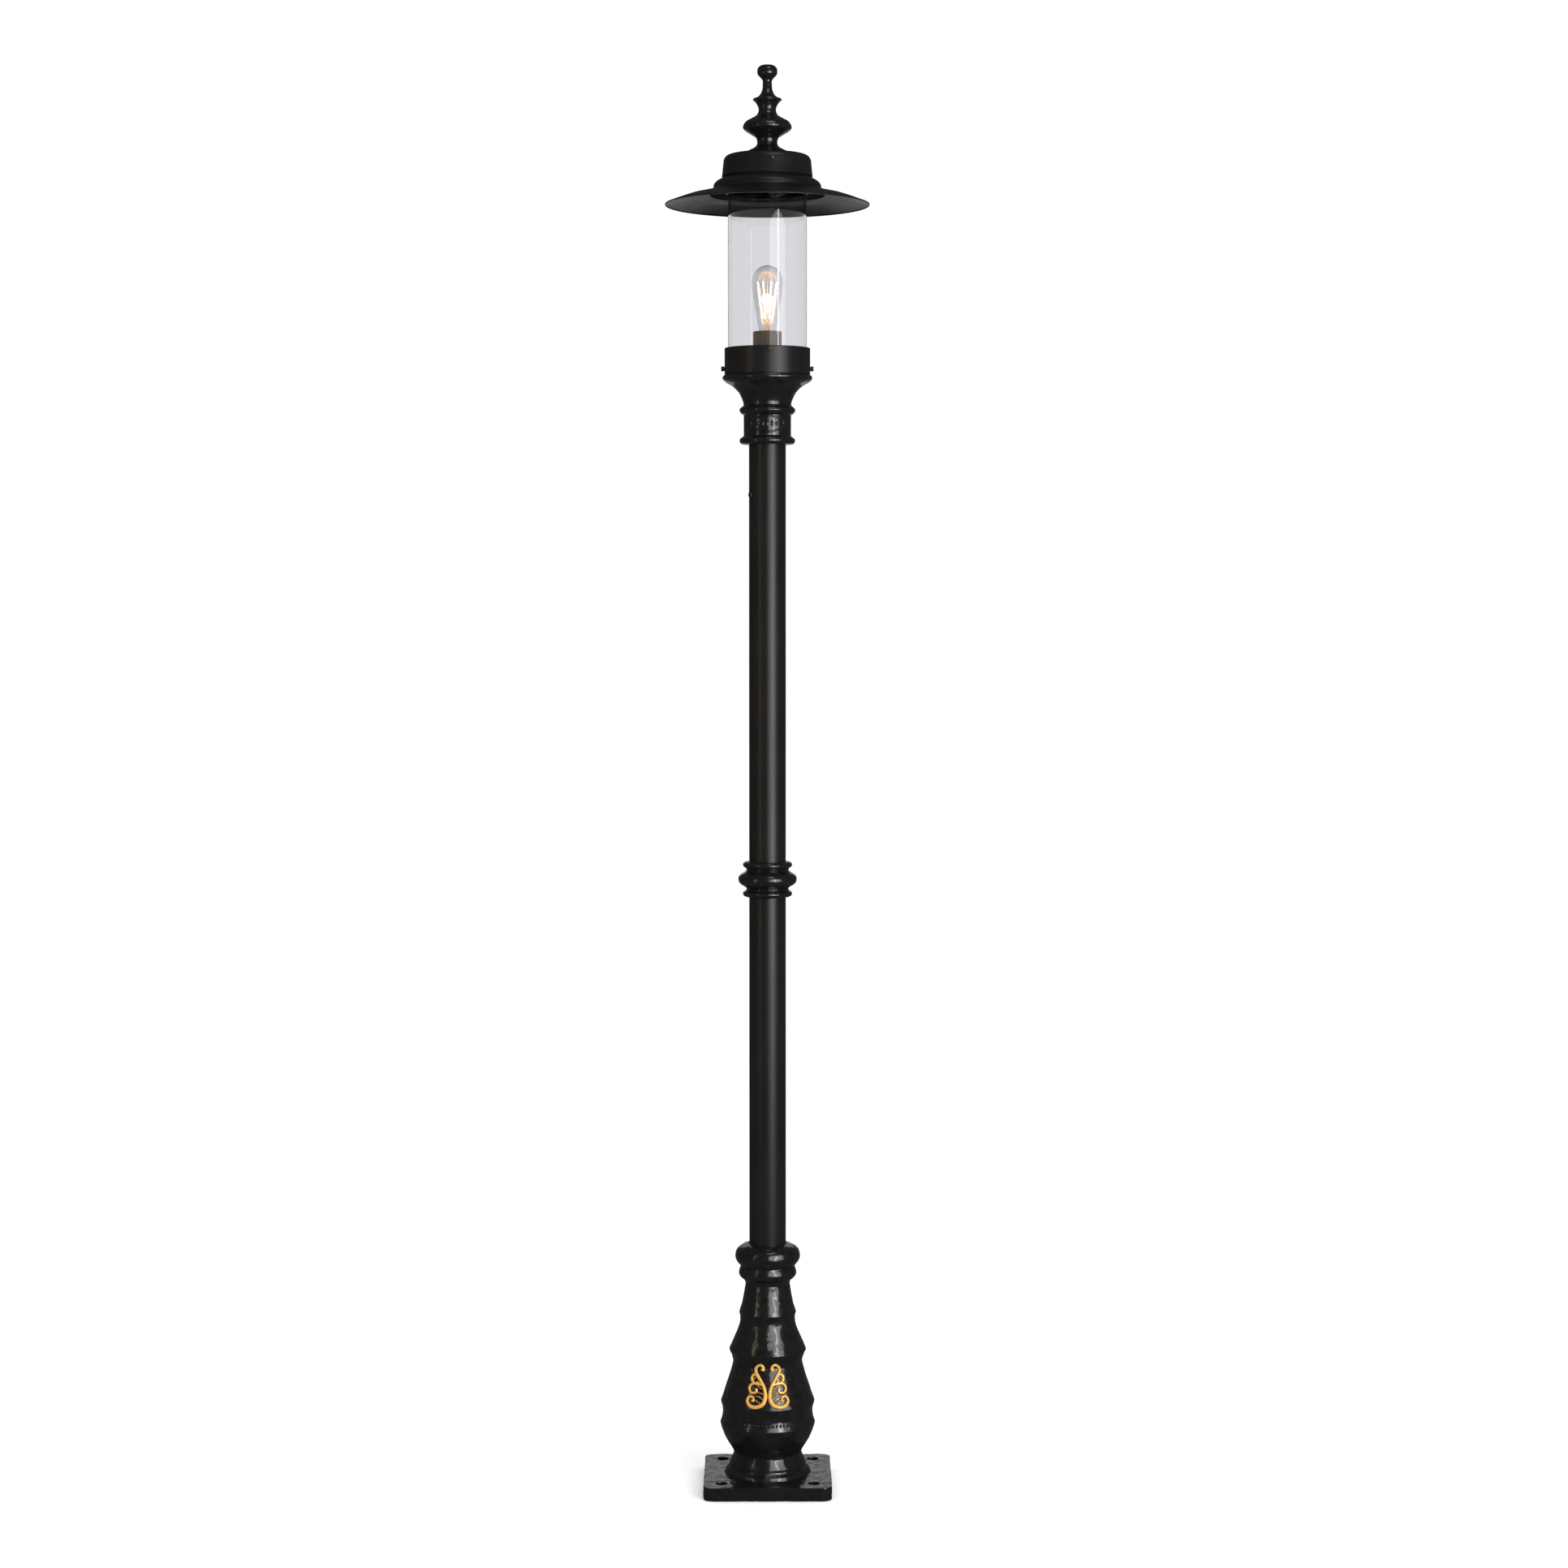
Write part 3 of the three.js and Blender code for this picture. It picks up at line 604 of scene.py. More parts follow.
class BasePlate(bpy.types.Operator):
    """Casts the square base plate with its anchor holes"""
    bl_idname = "lamp_post.base_plate"
    bl_label = "Base plate"

    def execute(self, context):
        low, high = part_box("base_plate")
        corner_radius, edge_radius = 19, 2.2
        bore, hole, hole_offset, past = 44, 12, 95, 5
        skin, wave_height, wave_size = 1.9, 1.9, 34
        deselect()
        bpy.ops.mesh.primitive_cube_add(size=1, location=(low + high) / 2, scale=high - low)
        plate = applied(bpy.context.object)
        bpy.ops.object.mode_set(mode="EDIT")
        bpy.ops.mesh.select_mode(type="EDGE")
        bpy.ops.mesh.select_all(action="DESELECT")
        mesh = bmesh.from_edit_mesh(plate.data)
        for edge in mesh.edges:
            a, b = edge.verts
            upright = abs(a.co.z - b.co.z) > 10 * MM
            if upright:
                edge.select_set(True)
        bmesh.update_edit_mesh(plate.data)
        bpy.ops.mesh.bevel(offset=corner_radius * MM, segments=10, affect="EDGES")
        bpy.ops.mesh.select_mode(type="VERT")
        bpy.ops.object.mode_set(mode="OBJECT")
        top = high.z / MM
        tools = [cylinder(bore, -past, top + past, 64)]
        tools += [cylinder(hole, -past, top + past, 40, x * hole_offset, y * hole_offset)
                  for x in (-1, 1) for y in (-1, 1)]
        cut_away(plate, *tools)
        modify(plate, "BEVEL", width=edge_radius * MM, segments=3, limit_method="ANGLE")
        fused(plate, skin)
        lumps(plate, wave_height, wave_size, "plate_waves")
        cast(plate, 0.75)
        finish(plate, "plate_casting", "base_plate")
        return {"FINISHED"}


class Pedestal(bpy.types.Operator):
    """Turns the pedestal casting: its skirts with sharp edges, its beads and its cored inside"""
    bl_idname = "lamp_post.pedestal"
    bl_label = "Pedestal"

    def execute(self, context):
        height = head("base_pedestal") - foot("base_pedestal")
        base = through([(90.5, 0), (88.6, 3.5), (87.6, 7), (83.5, 10), (80.4, 13.5), (79.4, 21.7)])
        urn = through([(79.4, 21.7), (74, 33), (70.6, 43), (75, 53.2), (87.4, 73.7), (95.4, 93),
                       (99, 105.5)])
        band = through([(99, 105.5), (94.3, 122), (94.3, 136), (97.8, 150.7)])
        top_skirt = through([(80.4, 259.7), (69, 285.7), (60.2, 307.5), (57.5, 320), (57.6, 330),
                             (59.4, 337.7)])
        neck = through([(59.4, 337.7), (53.4, 357.7), (49, 380), (46.1, 398.7)])
        lower_bead = through([(46.1, 398.7), (49, 406.5), (55.5, 411.5), (59.6, 418), (59.4, 426),
                              (55.6, 435.5)])
        upper_bead = through([(55.6, 435.5), (62.5, 443.5), (67, 452), (67, 461), (63, 471), (55, 477.5),
                              (46, height - 1), (40.5, height)])
        core = [(38.6, height - 2), (38.6, 372), (30, 371.7), (30, 359.7), (47, 321.7), (47, 311.7),
                (66, 261.7), (62, 233.7), (84, 153.7), (86, 103.7), (60, 46.7), (60, 0), (90.5, 0)]
        line = outline(base, urn, band, through(middle_skirt()), top_skirt, neck, lower_bead, upper_bead)
        line = outline(eased(line, sizes().edge_radius), core)
        pedestal = turned(lifted(line, foot("base_pedestal")), sizes().cast_sides)
        finish(cast(pedestal), "pedestal_casting", "base_pedestal")
        return {"FINISHED"}


# One scroll's ribs on the right-hand side, as (x from the middle, height above the ground) points in
# millimetres, with each rib's thickness at those points.
SCROLL_STEM = [
    (10, 258), (9, 264), (13, 270), (20, 268), (24, 259), (20, 248), (14, 238), (8.5, 228), (5.2, 216),
    (5, 204), (10, 193), (20, 187.5), (32, 187), (40, 193), (40.5, 202), (34, 207), (29, 202), (31, 197),
]
SCROLL_STEM_WIDTH = [
    1.5, 1.3, 1.1, 1.1, 1.2, 1.3, 1.2, 1.2, 1.3, 1.45, 1.5, 1.4, 1.35, 1.3, 1.1, 1.0, 0.9, 1.2,
]
SCROLL_UPPER_LEAF = [(17, 243), (24, 250), (31, 246), (31, 237), (24, 233), (19, 236)]
SCROLL_LOWER_LEAF = [(11, 230), (21, 232), (33, 230), (37, 221), (31, 214), (23, 217), (24, 223)]
SCROLL_VEINS = [
    [(9, 222), (17, 225), (24, 233)], [(7, 212), (16, 214), (25, 216)], [(9, 200), (18, 207), (31, 207)],
    [(14, 192), (21, 197), (29, 202)], [(30, 214), (36, 211), (39, 204)], [(20, 247), (26, 243), (30, 237)],
]


class Scrolls(bpy.types.Operator):
    """Models the pair of gilded scrolls that lie on the middle skirt"""
    bl_idname = "lamp_post.scrolls"
    bl_label = "Gilded scrolls"

    def execute(self, context):
        radius_at = skirt()
        stem_rib, leaf_rib, vein_rib, rib_roundness = 3.2, 3.3, 2.5, 3
        rib_lift, vein_lift = 1.6, 1.0
        skin, lump_height, lump_size, relief_depth = 0.55, 0.7, 4, 6.2
        for side, node, name in ((-1, "scroll_left", "gilded_scroll_left"),
                                 (1, "scroll_right", "gilded_scroll_right")):
            def lay(points, lift):
                """Lays (x, height) points on the skirt, some way above its surface."""
                out = []
                for x, z in points:
                    radius = radius_at(z) + lift
                    out.append((side * x, -math.sqrt(radius**2 - x**2), z))
                return out
            ribs = [wire(lay(SCROLL_STEM, rib_lift), stem_rib, 10, rib_roundness, SCROLL_STEM_WIDTH)]
            ribs += [wire(lay(leaf, rib_lift), leaf_rib, 8, rib_roundness)
                     for leaf in (SCROLL_UPPER_LEAF, SCROLL_LOWER_LEAF)]
            ribs += [wire(lay(vein, vein_lift), vein_rib, 8, rib_roundness) for vein in SCROLL_VEINS]
            scroll = fused(joined(ribs), skin)
            lumps(scroll, lump_height, lump_size, "gilt_lumps")
            smooth(scroll, 60)
            # the height over the skirt, which the gilt turns into painted shade low on the ribs
            mark(scroll, "relief", lambda p: min(1.0, max(0.0, (
                math.hypot(p.x, p.y) - radius_at(p.z)) / relief_depth)))
            finish(scroll, name, node)
        return {"FINISHED"}


class BandBeading(bpy.types.Operator):
    """Raises two plain rows of cast beads on the band below the scrolls"""
    bl_idname = "lamp_post.band_beading"
    bl_label = "Band beading"

    def execute(self, context):
        # each row's height above the ground, its beads' half height, and how far round it goes each way
        rows = ((157, 2.6, 33), (146, 4.2, 30))
        count, radius, depth, slimness = 14, 95.2, 2.4, 0.62
        beads = []
        for z, size, half_angle in rows:
            for i in range(count):
                angle = math.radians(-half_angle + 2 * half_angle * i / (count - 1))
                deselect()
                bpy.ops.mesh.primitive_ico_sphere_add(
                    subdivisions=2, radius=1, scale=(size * MM * slimness, depth * MM, size * MM),
                    location=(radius * MM * math.sin(angle), -radius * MM * math.cos(angle), z * MM),
                    rotation=(0, 0, angle))
                beads.append(applied(bpy.context.object))
        finish(smooth(joined(beads), 40), "band_beading", "base_pedestal")
        return {"FINISHED"}


# ---- post ----
class Tubes(bpy.types.Operator):
    """Draws the two post tubes, round and true"""
    bl_idname = "lamp_post.tubes"
    bl_label = "Post tubes"

    def execute(self, context):
        wall, edge_radius = 3.6, 0.6
        for node, name in (("lower_tube", "post_tube_lower"), ("upper_tube", "post_tube_upper")):
            radius = reach(node)
            line = ring(radius - wall, radius, foot(node), head(node))
            finish(turned(eased(line, edge_radius), sizes().tube_sides), name, node)
        return {"FINISHED"}


class Collar(bpy.types.Operator):
    """Casts the collar: a bead at each end, a fat one in the middle and grooves between them"""
    bl_idname = "lamp_post.collar"
    bl_label = "Collar"

    def execute(self, context):
        middle = (foot("mid_collar") + head("mid_collar")) / 2
        half = through([(60.6, 0), (59.8, 5), (56, 10), (49.5, 14), (44.3, 18), (43.8, 21), (46.5, 24),
                        (50.2, 26.4), (51.2, 30.2), (49.6, 34), (45.5, 36.3), (41, 36.5)], 1.6)
        bore = [(38.6, 36), (38.6, -36)]
        lower = [(r, -z) for r, z in reversed(half)]
        line = outline(lower, half, bore, [lower[0]])
        collar = turned(lifted(line, middle), sizes().cast_sides)
        finish(cast(collar, 0.6), "collar_casting", "mid_collar")
        return {"FINISHED"}


# ---- capital ----
class Capital(bpy.types.Operator):
    """Casts the capital: a neck between two beads, and a bell that carries the lantern"""
    bl_idname = "lamp_post.capital"
    bl_label = "Capital"

    def execute(self, context):
        lower_bead = through([(50, 0), (55, 2), (57.4, 7), (56, 12), (51.5, 15), (48.8, 17.5)], 1.8)
        neck = [(48.8, z) for z in range(18, 60, 3)]
        upper_bead = through([(48.8, 60), (53, 62.5), (57.4, 68), (56.5, 73.5), (52, 77.5), (49, 80)], 1.8)
        bell = through([(49, 80), (50.2, 87), (54, 96.5), (60.5, 108), (72.4, 119.5), (83.5, 126),
                        (88.6, 129.5)], 2.4)
        rim = through([(88.6, 129.5), (91.8, 132.5), (92.5, 136.5), (90.6, 140.6), (86.5, 141.6)], 1.8)
        inside = [(85.2, 141.8), (85.2, 162), (78, 162), (78, 149), (60, 127), (40, 111), (34.6, 107),
                  (34.6, 71), (38.6, 71), (38.6, 0), (50, 0)]
        line = outline(lower_bead, neck, upper_bead, bell, rim)
        line = outline(eased(line, 1.2), inside)
        capital = turned(lifted(line, foot("capital")), sizes().cast_sides)
        finish(cast(capital, 0.4), "capital_casting", "capital")
        return {"FINISHED"}


class Badge(bpy.types.Operator):
    """Raises a plain oval badge with a row of long beads on the front of the capital's neck"""
    bl_idname = "lamp_post.badge"
    bl_label = "Badge"

    def execute(self, context):
        neck_radius, middle = 48.8, foot("capital") + 41
        half_width, half_height, rim, rim_lift, steps = 33, 16.5, 2.3, 1.2, 40
        spacing, bead_width, bead_depth, bead_height, shorter, skin = 9.5, 3.4, 2.6, 8.5, 2, 0.6

        def on_neck(x, z, lift):
            return (x, -math.sqrt((neck_radius + lift)**2 - x**2), middle + z)
        oval = [on_neck(half_width * math.cos(i * math.tau / steps),
                        half_height * math.sin(i * math.tau / steps), rim_lift) for i in range(steps)]
        parts = [wire(oval, rim, 4, 3, cyclic=True)]
        for i in range(-2, 3):
            x, y, z = on_neck(i * spacing, 0, 0)
            deselect()
            bpy.ops.mesh.primitive_ico_sphere_add(
                subdivisions=3, radius=1, location=(x * MM, y * MM, z * MM),
                scale=(bead_width * MM, bead_depth * MM, (bead_height - shorter * abs(i)) * MM),
                rotation=(0, 0, math.atan2(x, -y)))
            parts.append(applied(bpy.context.object))
        badge = smooth(fused(joined(parts), skin), 60)
        finish(badge, "capital_badge", "capital")
        return {"FINISHED"}


# ---- lantern base ----
class Gallery(bpy.types.Operator):
    """Spins the gallery ring with its floor, and moulds the two glass gaskets"""
    bl_idname = "lamp_post.gallery"
    bl_label = "Gallery"

    def execute(self, context):
        radius, wall = reach("gallery_cup"), 2
        height = head("gallery_cup") - foot("gallery_cup")
        inner, hole, floor_low, floor_high = radius - wall, 7, 27, 30
        line = [(inner, 0), (radius, 0), (radius, height), (inner, height), (inner, floor_high),
                (hole, floor_high), (hole, floor_low), (inner, floor_low), (inner, 0)]
        cup = turned(lifted(eased(line, 0.7), foot("gallery_cup")), sizes().tube_sides)
        finish(cup, "gallery_ring", "gallery_cup")
        gasket_edge = 0.6
        low, high = foot("lower_gasket"), head("lower_gasket")
        seat = foot("glass_cylinder") - 0.3
        glass = reach("glass_cylinder") + 0.4
        inner, outer = 73, reach("lower_gasket")
        line = [(inner, low), (outer, low), (outer, high), (glass, high), (glass, seat), (inner, seat),
                (inner, low)]
        finish(turned(eased(line, gasket_edge), sizes().tube_sides), "gasket_lower", "lower_gasket")
        line = ring(74, 81.2, foot("upper_gasket"), head("upper_gasket"))
        finish(turned(eased(line, gasket_edge), sizes().tube_sides), "gasket_upper", "upper_gasket")
        return {"FINISHED"}


class GlassCylinder(bpy.types.Operator):
    """Draws the glass cylinder, with its edges ground and fire-polished"""
    bl_idname = "lamp_post.glass_cylinder"
    bl_label = "Glass cylinder"

    def execute(self, context):
        radius, wall, edge_radius, shading_angle = reach("glass_cylinder"), 4, 1.3, 40
        line = ring(radius - wall, radius, foot("glass_cylinder"), head("glass_cylinder"))
        glass = turned(eased(line, edge_radius), sizes().tube_sides, shading_angle)
        finish(glass, "lantern_glass_tube", "glass_cylinder")
        return {"FINISHED"}


class Lampholder(bpy.types.Operator):
    """Makes the bronze sleeve round the lampholder, the porcelain inside it and its threaded shell"""
    bl_idname = "lamp_post.lampholder"
    bl_label = "Lampholder"

    def execute(self, context):
        radius, low, high = reach("holder_sleeve"), foot("holder_sleeve"), head("holder_sleeve")
        wall, foot_ring = 1.6, 0.9
        inner = radius - wall
        line = [(inner, low), (radius + foot_ring, low), (radius + foot_ring, low + 2.5), (radius, low + 3.5),
                (radius, high - 2), (radius - 0.7, high), (inner, high), (inner, low)]
        finish(turned(eased(line, 0.4), sizes().tube_sides), "lampholder_sleeve", "holder_sleeve")
        low = foot("lampholder_body")
        height = head("lampholder_body") - low
        hole, outer, well, well_floor = 7, 26, 15.6, 14.7
        line = [(hole, 0), (outer, 0), (outer, height), (well, height), (well, well_floor),
                (hole, well_floor), (hole, 0)]
        porcelain_cup = turned(lifted(eased(line, 1.4), low), sizes().tube_sides)
        finish(porcelain_cup, "lampholder_porcelain", "lampholder_body")
        low, high = foot("holder_screw_shell"), head("holder_screw_shell")
        radius, depth, wall = 15.2, 0.4, 0.6
        outside = thread(radius, depth, low, high)
        inside = [(r - wall, z) for r, z in reversed(outside)]
        line = outline(outside, inside, [outside[0]])
        finish(turned(line, THREAD_SIDES, 60), "lampholder_shell", "holder_screw_shell")
        return {"FINISHED"}


THREAD_PITCH, THREAD_STEP, THREAD_SIDES = 3.6, 0.4, 64


def thread(radius, depth, low, high):
    """The waved side of a rolled lamp thread, within its radius."""
    count = round((high - low) / THREAD_STEP)
    heights = [low + (high - low) * i / count for i in range(count + 1)]
    return [(radius - depth * (1 - math.cos(math.tau * (z - low) / THREAD_PITCH)) / 2, z) for z in heights]


class Lamp(bpy.types.Operator):
    """Makes the lamp: threaded cap, black insulator, contact, blown envelope and lit filaments"""
    bl_idname = "lamp_post.lamp"
    bl_label = "Lamp"

    def execute(self, context):
        low, high = foot("bulb_cap"), head("bulb_cap")
        radius, depth, wall, plain_end, opening = 13.2, 0.9, 0.7, 3, 9.8
        side = thread(radius, depth, low + plain_end, high - plain_end)
        base = [(opening, low), (12.2, low + 1), (side[0][0], low + plain_end)]
        rim = [(radius, high - plain_end), (radius, high)]
        inside = [(r - wall, z) for r, z in reversed(outline(side, rim))]
        line = outline(base, side, rim, inside, [(opening, low + 1.2), (opening, low)])
        finish(turned(line, THREAD_SIDES, 60), "lamp_cap", "bulb_cap")
        low, high = foot("bulb_insulator"), head("bulb_insulator")
        line = [(4.9, low), (7, low + 0.2), (9.4, low + 3.2), (9.4, high), (4.9, high), (4.9, low)]
        finish(turned(eased(line, 0.3), 48), "lamp_insulator", "bulb_insulator")
        low, high = foot("bulb_contact_pip"), head("bulb_contact_pip")
        line = through([(0, low), (2.6, low + 0.3), (4.3, low + 1.5), (4.5, high)], 0.6)
        finish(turned([*line, (0, high)], 32), "lamp_contact", "bulb_contact_pip")
        self.envelope()
        self.filaments()
        return {"FINISHED"}

    def envelope(self):
        low = foot("bulb_glass")
        height = head("bulb_glass") - low
        outside = through([(12.6, 0), (14.2, 4), (17.4, 12), (20.4, 27), (24.4, 52), (28.8, 78),
                           (31.5, 97), (32, 108), (30.8, 120), (26.5, 131), (19, 139), (9.5, 143.6),
                           (3.5, 144.4), (0, height)], 2.0)
        wall, shoulder = 0.9, 110
        inside = [(max(r - wall, 0), z - max(0.0, (z - shoulder) / (height - shoulder)) * wall)
                  for r, z in outside]
        inside[-1] = (0, height - wall)
        line = outline(outside, list(reversed(inside)), [outside[0]])
        finish(turned(lifted(line, low), 96, 60), "lamp_envelope", "bulb_glass")

    def filaments(self):
        low = foot("filament_cage")
        strip_count, strip_radius, lead_radius, hook_count, hook_radius = 8, 1.35, 0.4, 4, 0.5
        strips, wires = [], []
        stem = through([(9.5, 0), (9.3, 3), (4.4, 9), (3.1, 17), (3.0, 26), (1.6, 29.5)], 1.5)
        wires.append(turned([(0, low), *lifted(stem, low), (0, low + 30)], 32))
        wires.append(rod((0, 0, low + 28), (0, 0, low + 133.5), 0.9, 16))

        def at(angle, r, z):
            return (r * math.cos(angle), r * math.sin(angle), low + z)
        for i in range(strip_count):
            way = (i + 0.5) * math.tau / strip_count
            strips.append(rod(at(way, 11, 35), at(way, 21, 108), strip_radius, 12))
            wires.append(wire([at(way, 0.5, 26), at(way, 6, 29), at(way, 11, 35.5)], lead_radius, 6, 1))
            wires.append(wire([at(way, 21, 107.5), at(way, 20, 118), at(way, 11, 125), at(way, 3, 128),
                               at(way, 0.3, 130)], lead_radius, 6, 1))
        for i in range(hook_count):
            way = i * math.tau / hook_count + 0.3
            wires.append(wire([(0, 0, low + 128.5), at(way, 3.2, 132), at(way, 6, 132.5)],
                              hook_radius, 6, 1))
        # painted light: the lead wires, hooks, support rod and glass stem glow faintly, for the filaments'
        # light on them
        glow, painted_glow_on_wires = 1.0, 0.03
        lit, dull = joined(strips), joined(wires)
        mark(lit, "lit", lambda p: glow)
        mark(dull, "lit", lambda p: painted_glow_on_wires)
        cage = joined([lit, dull])
        finish(cage, "lamp_filaments", "filament_cage")


# ---- lantern top ----
class LanternTop(bpy.types.Operator):
    """Spins the brim, the crown above it and the ring that grips the glass"""
    bl_idname = "lamp_post.lantern_top"
    bl_label = "Brim and crown"

    def execute(self, context):
        rim_radius = reach("brim")
        top = head("brim")
        neck = [(87.6, 0), (90.4, -34), (91.2, -37.2)]
        step = through([(91.2, -37.2), (94.5, -39.6), (99, -41.8), (104, -45), (108.2, -49), (110.4, -53.5),
                        (110.6, -57.5), (112.5, -61)], 1.2)
        dish = through([(112.5, -61), (128, -66), (145, -70.2), (162, -74)], 4)
        apron = through([(162, -74), (178, -79.2), (194, -85), (rim_radius - 2.6, -90.2)], 4)
        sheet, edge_radius = 1.5, 1.0
        above = eased(outline(neck, step, dish, apron), edge_radius)
        under = shell(above, sheet)
        split = under.index(above[-1])
        roll = [(rim_radius - 0.8, -90.6), (rim_radius, -91.8), (rim_radius - 0.6, -93.2),
                (rim_radius - 2.2, -93.4)]
        lip = [(121.5, -67), (120.4, -72.6), (118.2, -72.9), (117.4, -67)]
        line = under[:split + 1] + roll + under[split + 1:]
        line = with_lip(line, lip, split + len(roll))
        brim = turned(lifted(line, top), sizes().tube_sides)
        finish(brim, "lantern_brim", "brim")

        top = head("crown")
        line = outline([(5.6, 0), (25, -0.2), (45, -0.7)], through([(45, -0.7), (62, -1.5), (75, -2.6),
                       (82.5, -4.8), (87, -8.6), (89.4, -13.5), (90.2, -20)], 1.6),
                       [(91.2, -30), (92.9, -46.2), (93.2, -47.2)])
        crown = turned(lifted(eased(shell(line, sheet), 0.4), top), sizes().tube_sides)
        finish(crown, "lantern_crown", "crown")

        low = foot("glass_cap_ring")
        line = [(81.6, 0), (84, 0), (84, 25), (85.6, 28), (85.6, 72), (82.6, 72), (82.6, 26.5), (60, 26.5),
                (60, 23.3), (81.6, 23.3), (81.6, 0)]
        grip = turned(lifted(eased(line, 0.5), low), sizes().tube_sides)
        finish(grip, "glass_grip_ring", "glass_cap_ring")
        return {"FINISHED"}


def with_lip(line, lip, after):
    """The outline with a small downturned lip let into its underside, where the radius passes it."""
    for i in range(after, len(line) - 1):
        if line[i][0] >= lip[0][0] > line[i + 1][0]:
            inner = i + 1
            while line[inner][0] > lip[-1][0]:
                inner += 1
            return line[:i + 1] + lip + line[inner:]
    raise RuntimeError("the brim's underside doesn't pass the lip's radius")


class Finial(bpy.types.Operator):
    """Turns the finial casting: flange, waist, bulb, disc, stem and ball"""
    bl_idname = "lamp_post.finial"
    bl_label = "Finial"

    def execute(self, context):
        height = head("finial") - foot("finial")
        flange = [(5.6, 0), (43, 0), (44, 1.3), (42.5, 2.8)]
        body = through([(42.5, 2.8), (38.2, 5.6), (27, 11.4), (21.6, 17), (20.8, 23), (23, 31), (32.8, 37.6),
                        (44, 44.4), (49, 49.5), (49.6, 55.5), (43.7, 64.4), (32.8, 70.6), (22, 77.4),
                        (18, 86), (19, 94), (24, 102.8), (29.6, 107)], 1.8)
        disc = through([(29.6, 107), (28.9, 110.2), (21, 113.4), (14.4, 119.6), (10.4, 129), (9.6, 138),
                        (9.9, 147.5), (14.5, 153.4), (19.6, 159.5), (20.6, 166), (19.2, 172.6), (13.8, 177.6),
                        (7, 179), (0, height)], 1.6)
        socket = [(0, 37.4), (5.6, 37.4), (5.6, 0)]
        line = outline(flange, body, disc, socket)
        sides = 120
        finial = turned(lifted(line, foot("finial")), sides)
        finish(cast(finial, 0.25), "finial_casting", "finial")
        return {"FINISHED"}


# ---- screws ----
class Screws(bpy.types.Operator):
    """Makes every outside screw with a hexagon socket, each set in at its own hole"""
    bl_idname = "lamp_post.screws"
    bl_label = "Screws"

    def execute(self, context):
        button = {"spigot_screw": (7, 3), "glass_screw_1": (5.5, 3), "glass_screw_2": (5.5, 3),
                  "glass_screw_3": (5.5, 3), "crown_screw_1": (4.6, 2.4), "crown_screw_2": (4.6, 2.4),
                  "crown_screw_3": (4.6, 2.4)}
        for node, (radius, height) in button.items():
            head_line = through([(radius, 0), (radius, height * 0.3), (radius * 0.86, height * 0.75),
                                 (radius * 0.6, height)], 0.5)
            self.screw(node, head_line, radius * 0.42, height)
        for node in ("gallery_screw_left", "gallery_screw_right"):
            radius, height = 5, 6.7
            self.screw(node, eased([(radius, 0), (radius, height), (radius * 0.6, height)], 0.6),
                       radius * 0.5, height)
        for node in ("base_set_screw_1", "base_set_screw_2", "collar_grub_screw_1", "collar_grub_screw_2"):
            radius = 4.3 if node.startswith("base") else 3.0
            self.screw(node, [(radius, -0.6), (radius - 0.5, 0)], radius * 0.5, 0)
        return {"FINISHED"}

    def screw(self, node, head_line, socket, top):
        """Turns one screw and lays it in its hole: a shank as long as the CAD screw's, and a head with a
        hexagon socket."""
        mesh = frame["nodes"][node].data
        low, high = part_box(node)
        out = Vector(((low.x + high.x) / 2, (low.y + high.y) / 2, 0)).normalized()
        along = [vertex.co.dot(out) / MM for vertex in mesh.vertices]
        inner, outer = min(along), max(along)
        depth = outer - inner - top
        shanks = {"spigot": 3.4, "crown": 2.6, "glass": 2.7, "gallery": 3.0}
        shank = shanks.get(node.split("_")[0], head_line[0][0])
        tip = 0.5
        line = [(0, -depth), (shank - tip, -depth), (shank, -depth + tip)]
        if shank < head_line[0][0]:
            line.append((shank, 0))
        floor = top - 0.6 * socket - 0.6
        line = outline(line, head_line, [(socket, top), (socket, floor), (0, floor)])
        screw = turned(line, sizes().screw_sides)
        for vertex in screw.data.vertices:
            x, y, z = vertex.co / MM
            if abs(math.hypot(x, y) - socket) < 0.01 and z > floor - 0.01:
                around = math.atan2(y, x) % (math.pi / 3) - math.pi / 6
                flat = socket * math.cos(math.pi / 6) / math.cos(around)
                vertex.co.x, vertex.co.y = x * flat / socket * MM, y * flat / socket * MM
        screw.rotation_euler = out.to_track_quat("Z", "Y").to_euler()
        screw.location = out * (outer - top) * MM + Vector((0, 0, (low.z + high.z) / 2))
        finish(applied(screw), node + "_detailed", node)


class InsidePieces(bpy.types.Operator):
    """Gives the hidden pieces that are kept from the frame their finishes"""
    bl_idname = "lamp_post.inside_pieces"
    bl_label = "Inside pieces"

    def execute(self, context):
        for node, obj in frame["nodes"].items():
            if not obj.hide_render:
                obj.data.materials.clear()
                obj.data.materials.append(finish_of(SLOT_OF[node]))
        return {"FINISHED"}


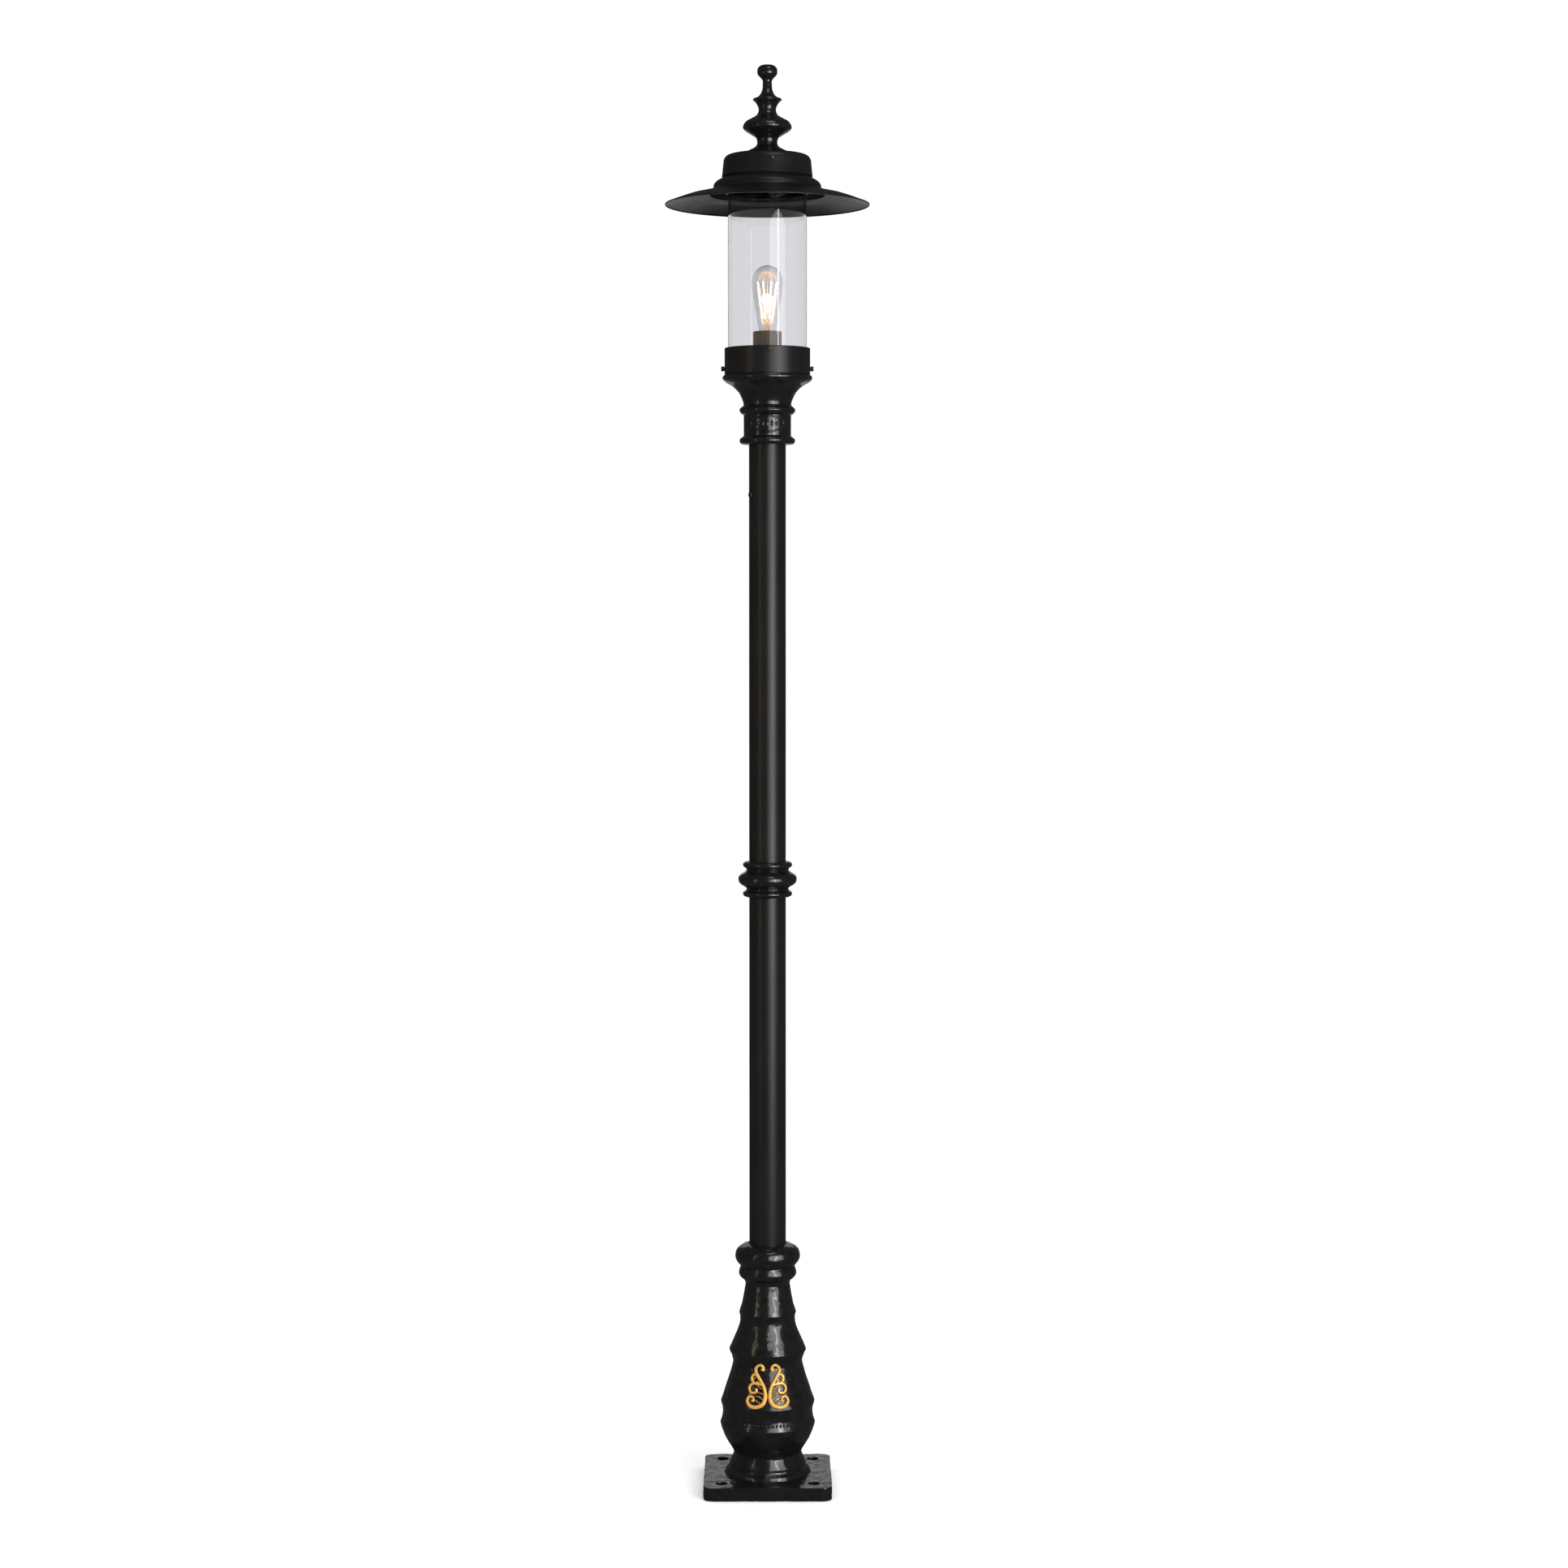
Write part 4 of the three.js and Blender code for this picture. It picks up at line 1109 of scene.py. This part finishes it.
# ---- stage ----
class Stage(bpy.types.Operator):
    """Sets out the pale floor, the soft lights and the camera"""
    bl_idname = "lamp_post.stage"
    bl_label = "Stage"

    def execute(self, context):
        self.camera(context)
        self.floor()
        self.world(context)
        warm, cool, amber, plain = (1, 0.99, 0.98), (0.97, 0.98, 1), (1, 0.84, 0.58), (1, 1, 1)
        # name, place, width, height, watts, colour
        self.softbox("broad_softbox", (1.95, -3.38, 1.7), 3.3, 2.8, 100, warm)
        self.softbox("strip_softbox", (2.2, -3.6, 1.75), 0.3, 3.0, 34, warm)
        self.softbox("left_softbox", (-2.6, -2.4, 1.7), 0.3, 2.6, 6, amber)
        self.softbox("top_softbox", (0.6, -1.4, 4.6), 1.2, 1.2, 10, plain)
        self.softbox("rear_high_softbox", (0, 3.4, 2.05), 2.6, 0.7, 3.2, cool)
        self.softbox("rear_low_softbox", (0, 3.4, 1.0), 2.2, 0.8, 3.0, cool)
        below_tip, watts, glow_radius = 0.07, 0.5, 0.012
        bpy.ops.object.light_add(type="POINT", location=(0, 0, head("bulb_glass") * MM - below_tip))
        lamp = bpy.context.object
        lamp.name = "lamp_glow"
        lamp.data.energy, lamp.data.shadow_soft_size = watts, glow_radius
        lamp.data.color = tuple(colours().lamp)
        context.scene.view_settings.view_transform = "Standard"
        return {"FINISHED"}

    def camera(self, context):
        pitch_down, turn, lens, sensor = 3.28, -0.30, 72.54, 36
        distance, eye_height = 6.53, 1.844
        bpy.ops.object.camera_add(
            location=(0, -distance, eye_height),
            rotation=(math.radians(90 - pitch_down), 0, math.radians(turn)))
        camera = bpy.context.object
        camera.data.lens, camera.data.sensor_width = lens, sensor
        camera.data.clip_end = 200
        context.scene.camera = camera

    def floor(self):
        radius = 1.9
        deselect()
        bpy.ops.mesh.primitive_circle_add(vertices=96, radius=radius, fill_type="NGON")
        floor = bpy.context.object
        floor.name = "studio_floor"
        n = Nodes("pale_floor")
        cloud = n.noise(1.5, 3)
        n.colour(n.ramp(cloud, (0.3, (0.955, 0.955, 0.955)), (0.7, (0.965, 0.965, 0.965))))
        n.rough(n.between(cloud, 0.75, 0.85)).set(Specular_IOR_Level=0.1)
        floor.data.materials.append(n.material)
        floor.visible_glossy = False

    def world(self, context):
        world = context.scene.world or bpy.data.worlds.new("Studio")
        context.scene.world = world
        world.use_nodes = True
        tree = world.node_tree
        background = tree.nodes["Background"]
        background.inputs["Color"].default_value = (1, 1, 1, 1)
        # white behind everything, the glass too, but dim in the enamel's reflections, as in a dark studio
        ray = tree.nodes.new("ShaderNodeLightPath")
        mirrored = tree.nodes.new("ShaderNodeMath")
        mirrored.operation = "SUBTRACT"
        mirrored.use_clamp = True
        tree.links.new(ray.outputs["Is Glossy Ray"], mirrored.inputs[0])
        tree.links.new(ray.outputs["Is Transmission Ray"], mirrored.inputs[1])
        strength = tree.nodes.new("ShaderNodeMapRange")
        seen_strength, mirrored_strength = 1.05, 0.06
        strength.inputs["To Min"].default_value = seen_strength
        strength.inputs["To Max"].default_value = mirrored_strength
        tree.links.new(mirrored.outputs[0], strength.inputs["Value"])
        tree.links.new(strength.outputs[0], background.inputs["Strength"])

    def softbox(self, name, place, width, height, power, colour):
        aim = Vector((0, 0, 1.5))
        turn = (aim - Vector(place)).to_track_quat("-Z", "Y").to_euler()
        bpy.ops.object.light_add(type="AREA", location=place, rotation=turn)
        light = bpy.context.object
        light.name = name
        light.data.shape = "RECTANGLE"
        light.data.size, light.data.size_y = width, height
        light.data.energy, light.data.color = power, colour
        light.visible_camera = light.visible_transmission = False


STEPS = (Stage, BasePlate, Pedestal, Scrolls, BandBeading, Tubes, Collar, Capital, Badge, Gallery,
         GlassCylinder, Lampholder, Lamp, LanternTop, Finial, Screws, InsidePieces)


class LampPostPanel(bpy.types.Panel):
    """Lists the lamp post's sizes, colours and pieces"""
    bl_idname = "VIEW3D_PT_lamp_post"
    bl_label = "Street lamp post"
    bl_space_type = "VIEW_3D"
    bl_region_type = "UI"
    bl_category = "Lamp post"

    def draw(self, context):
        for group in (context.scene.lamp_post_sizes, context.scene.lamp_post_colours):
            for name in group.bl_rna.properties.keys():
                if name not in ("rna_type", "name"):
                    self.layout.prop(group, name)
        for step in STEPS:
            self.layout.operator(step.bl_idname)


CLASSES = (LampPostSizes, LampPostColours, *STEPS, LampPostPanel)


def register():
    for cls in CLASSES:
        bpy.utils.register_class(cls)
    bpy.types.Scene.lamp_post_sizes = bpy.props.PointerProperty(type=LampPostSizes)
    bpy.types.Scene.lamp_post_colours = bpy.props.PointerProperty(type=LampPostColours)


def unregister():
    del bpy.types.Scene.lamp_post_colours
    del bpy.types.Scene.lamp_post_sizes
    for cls in reversed(CLASSES):
        bpy.utils.unregister_class(cls)


def main():
    register()
    for step in STEPS:
        group, name = step.bl_idname.split(".")
        getattr(getattr(bpy.ops, group), name)()


if __name__ == "__main__":
    main()
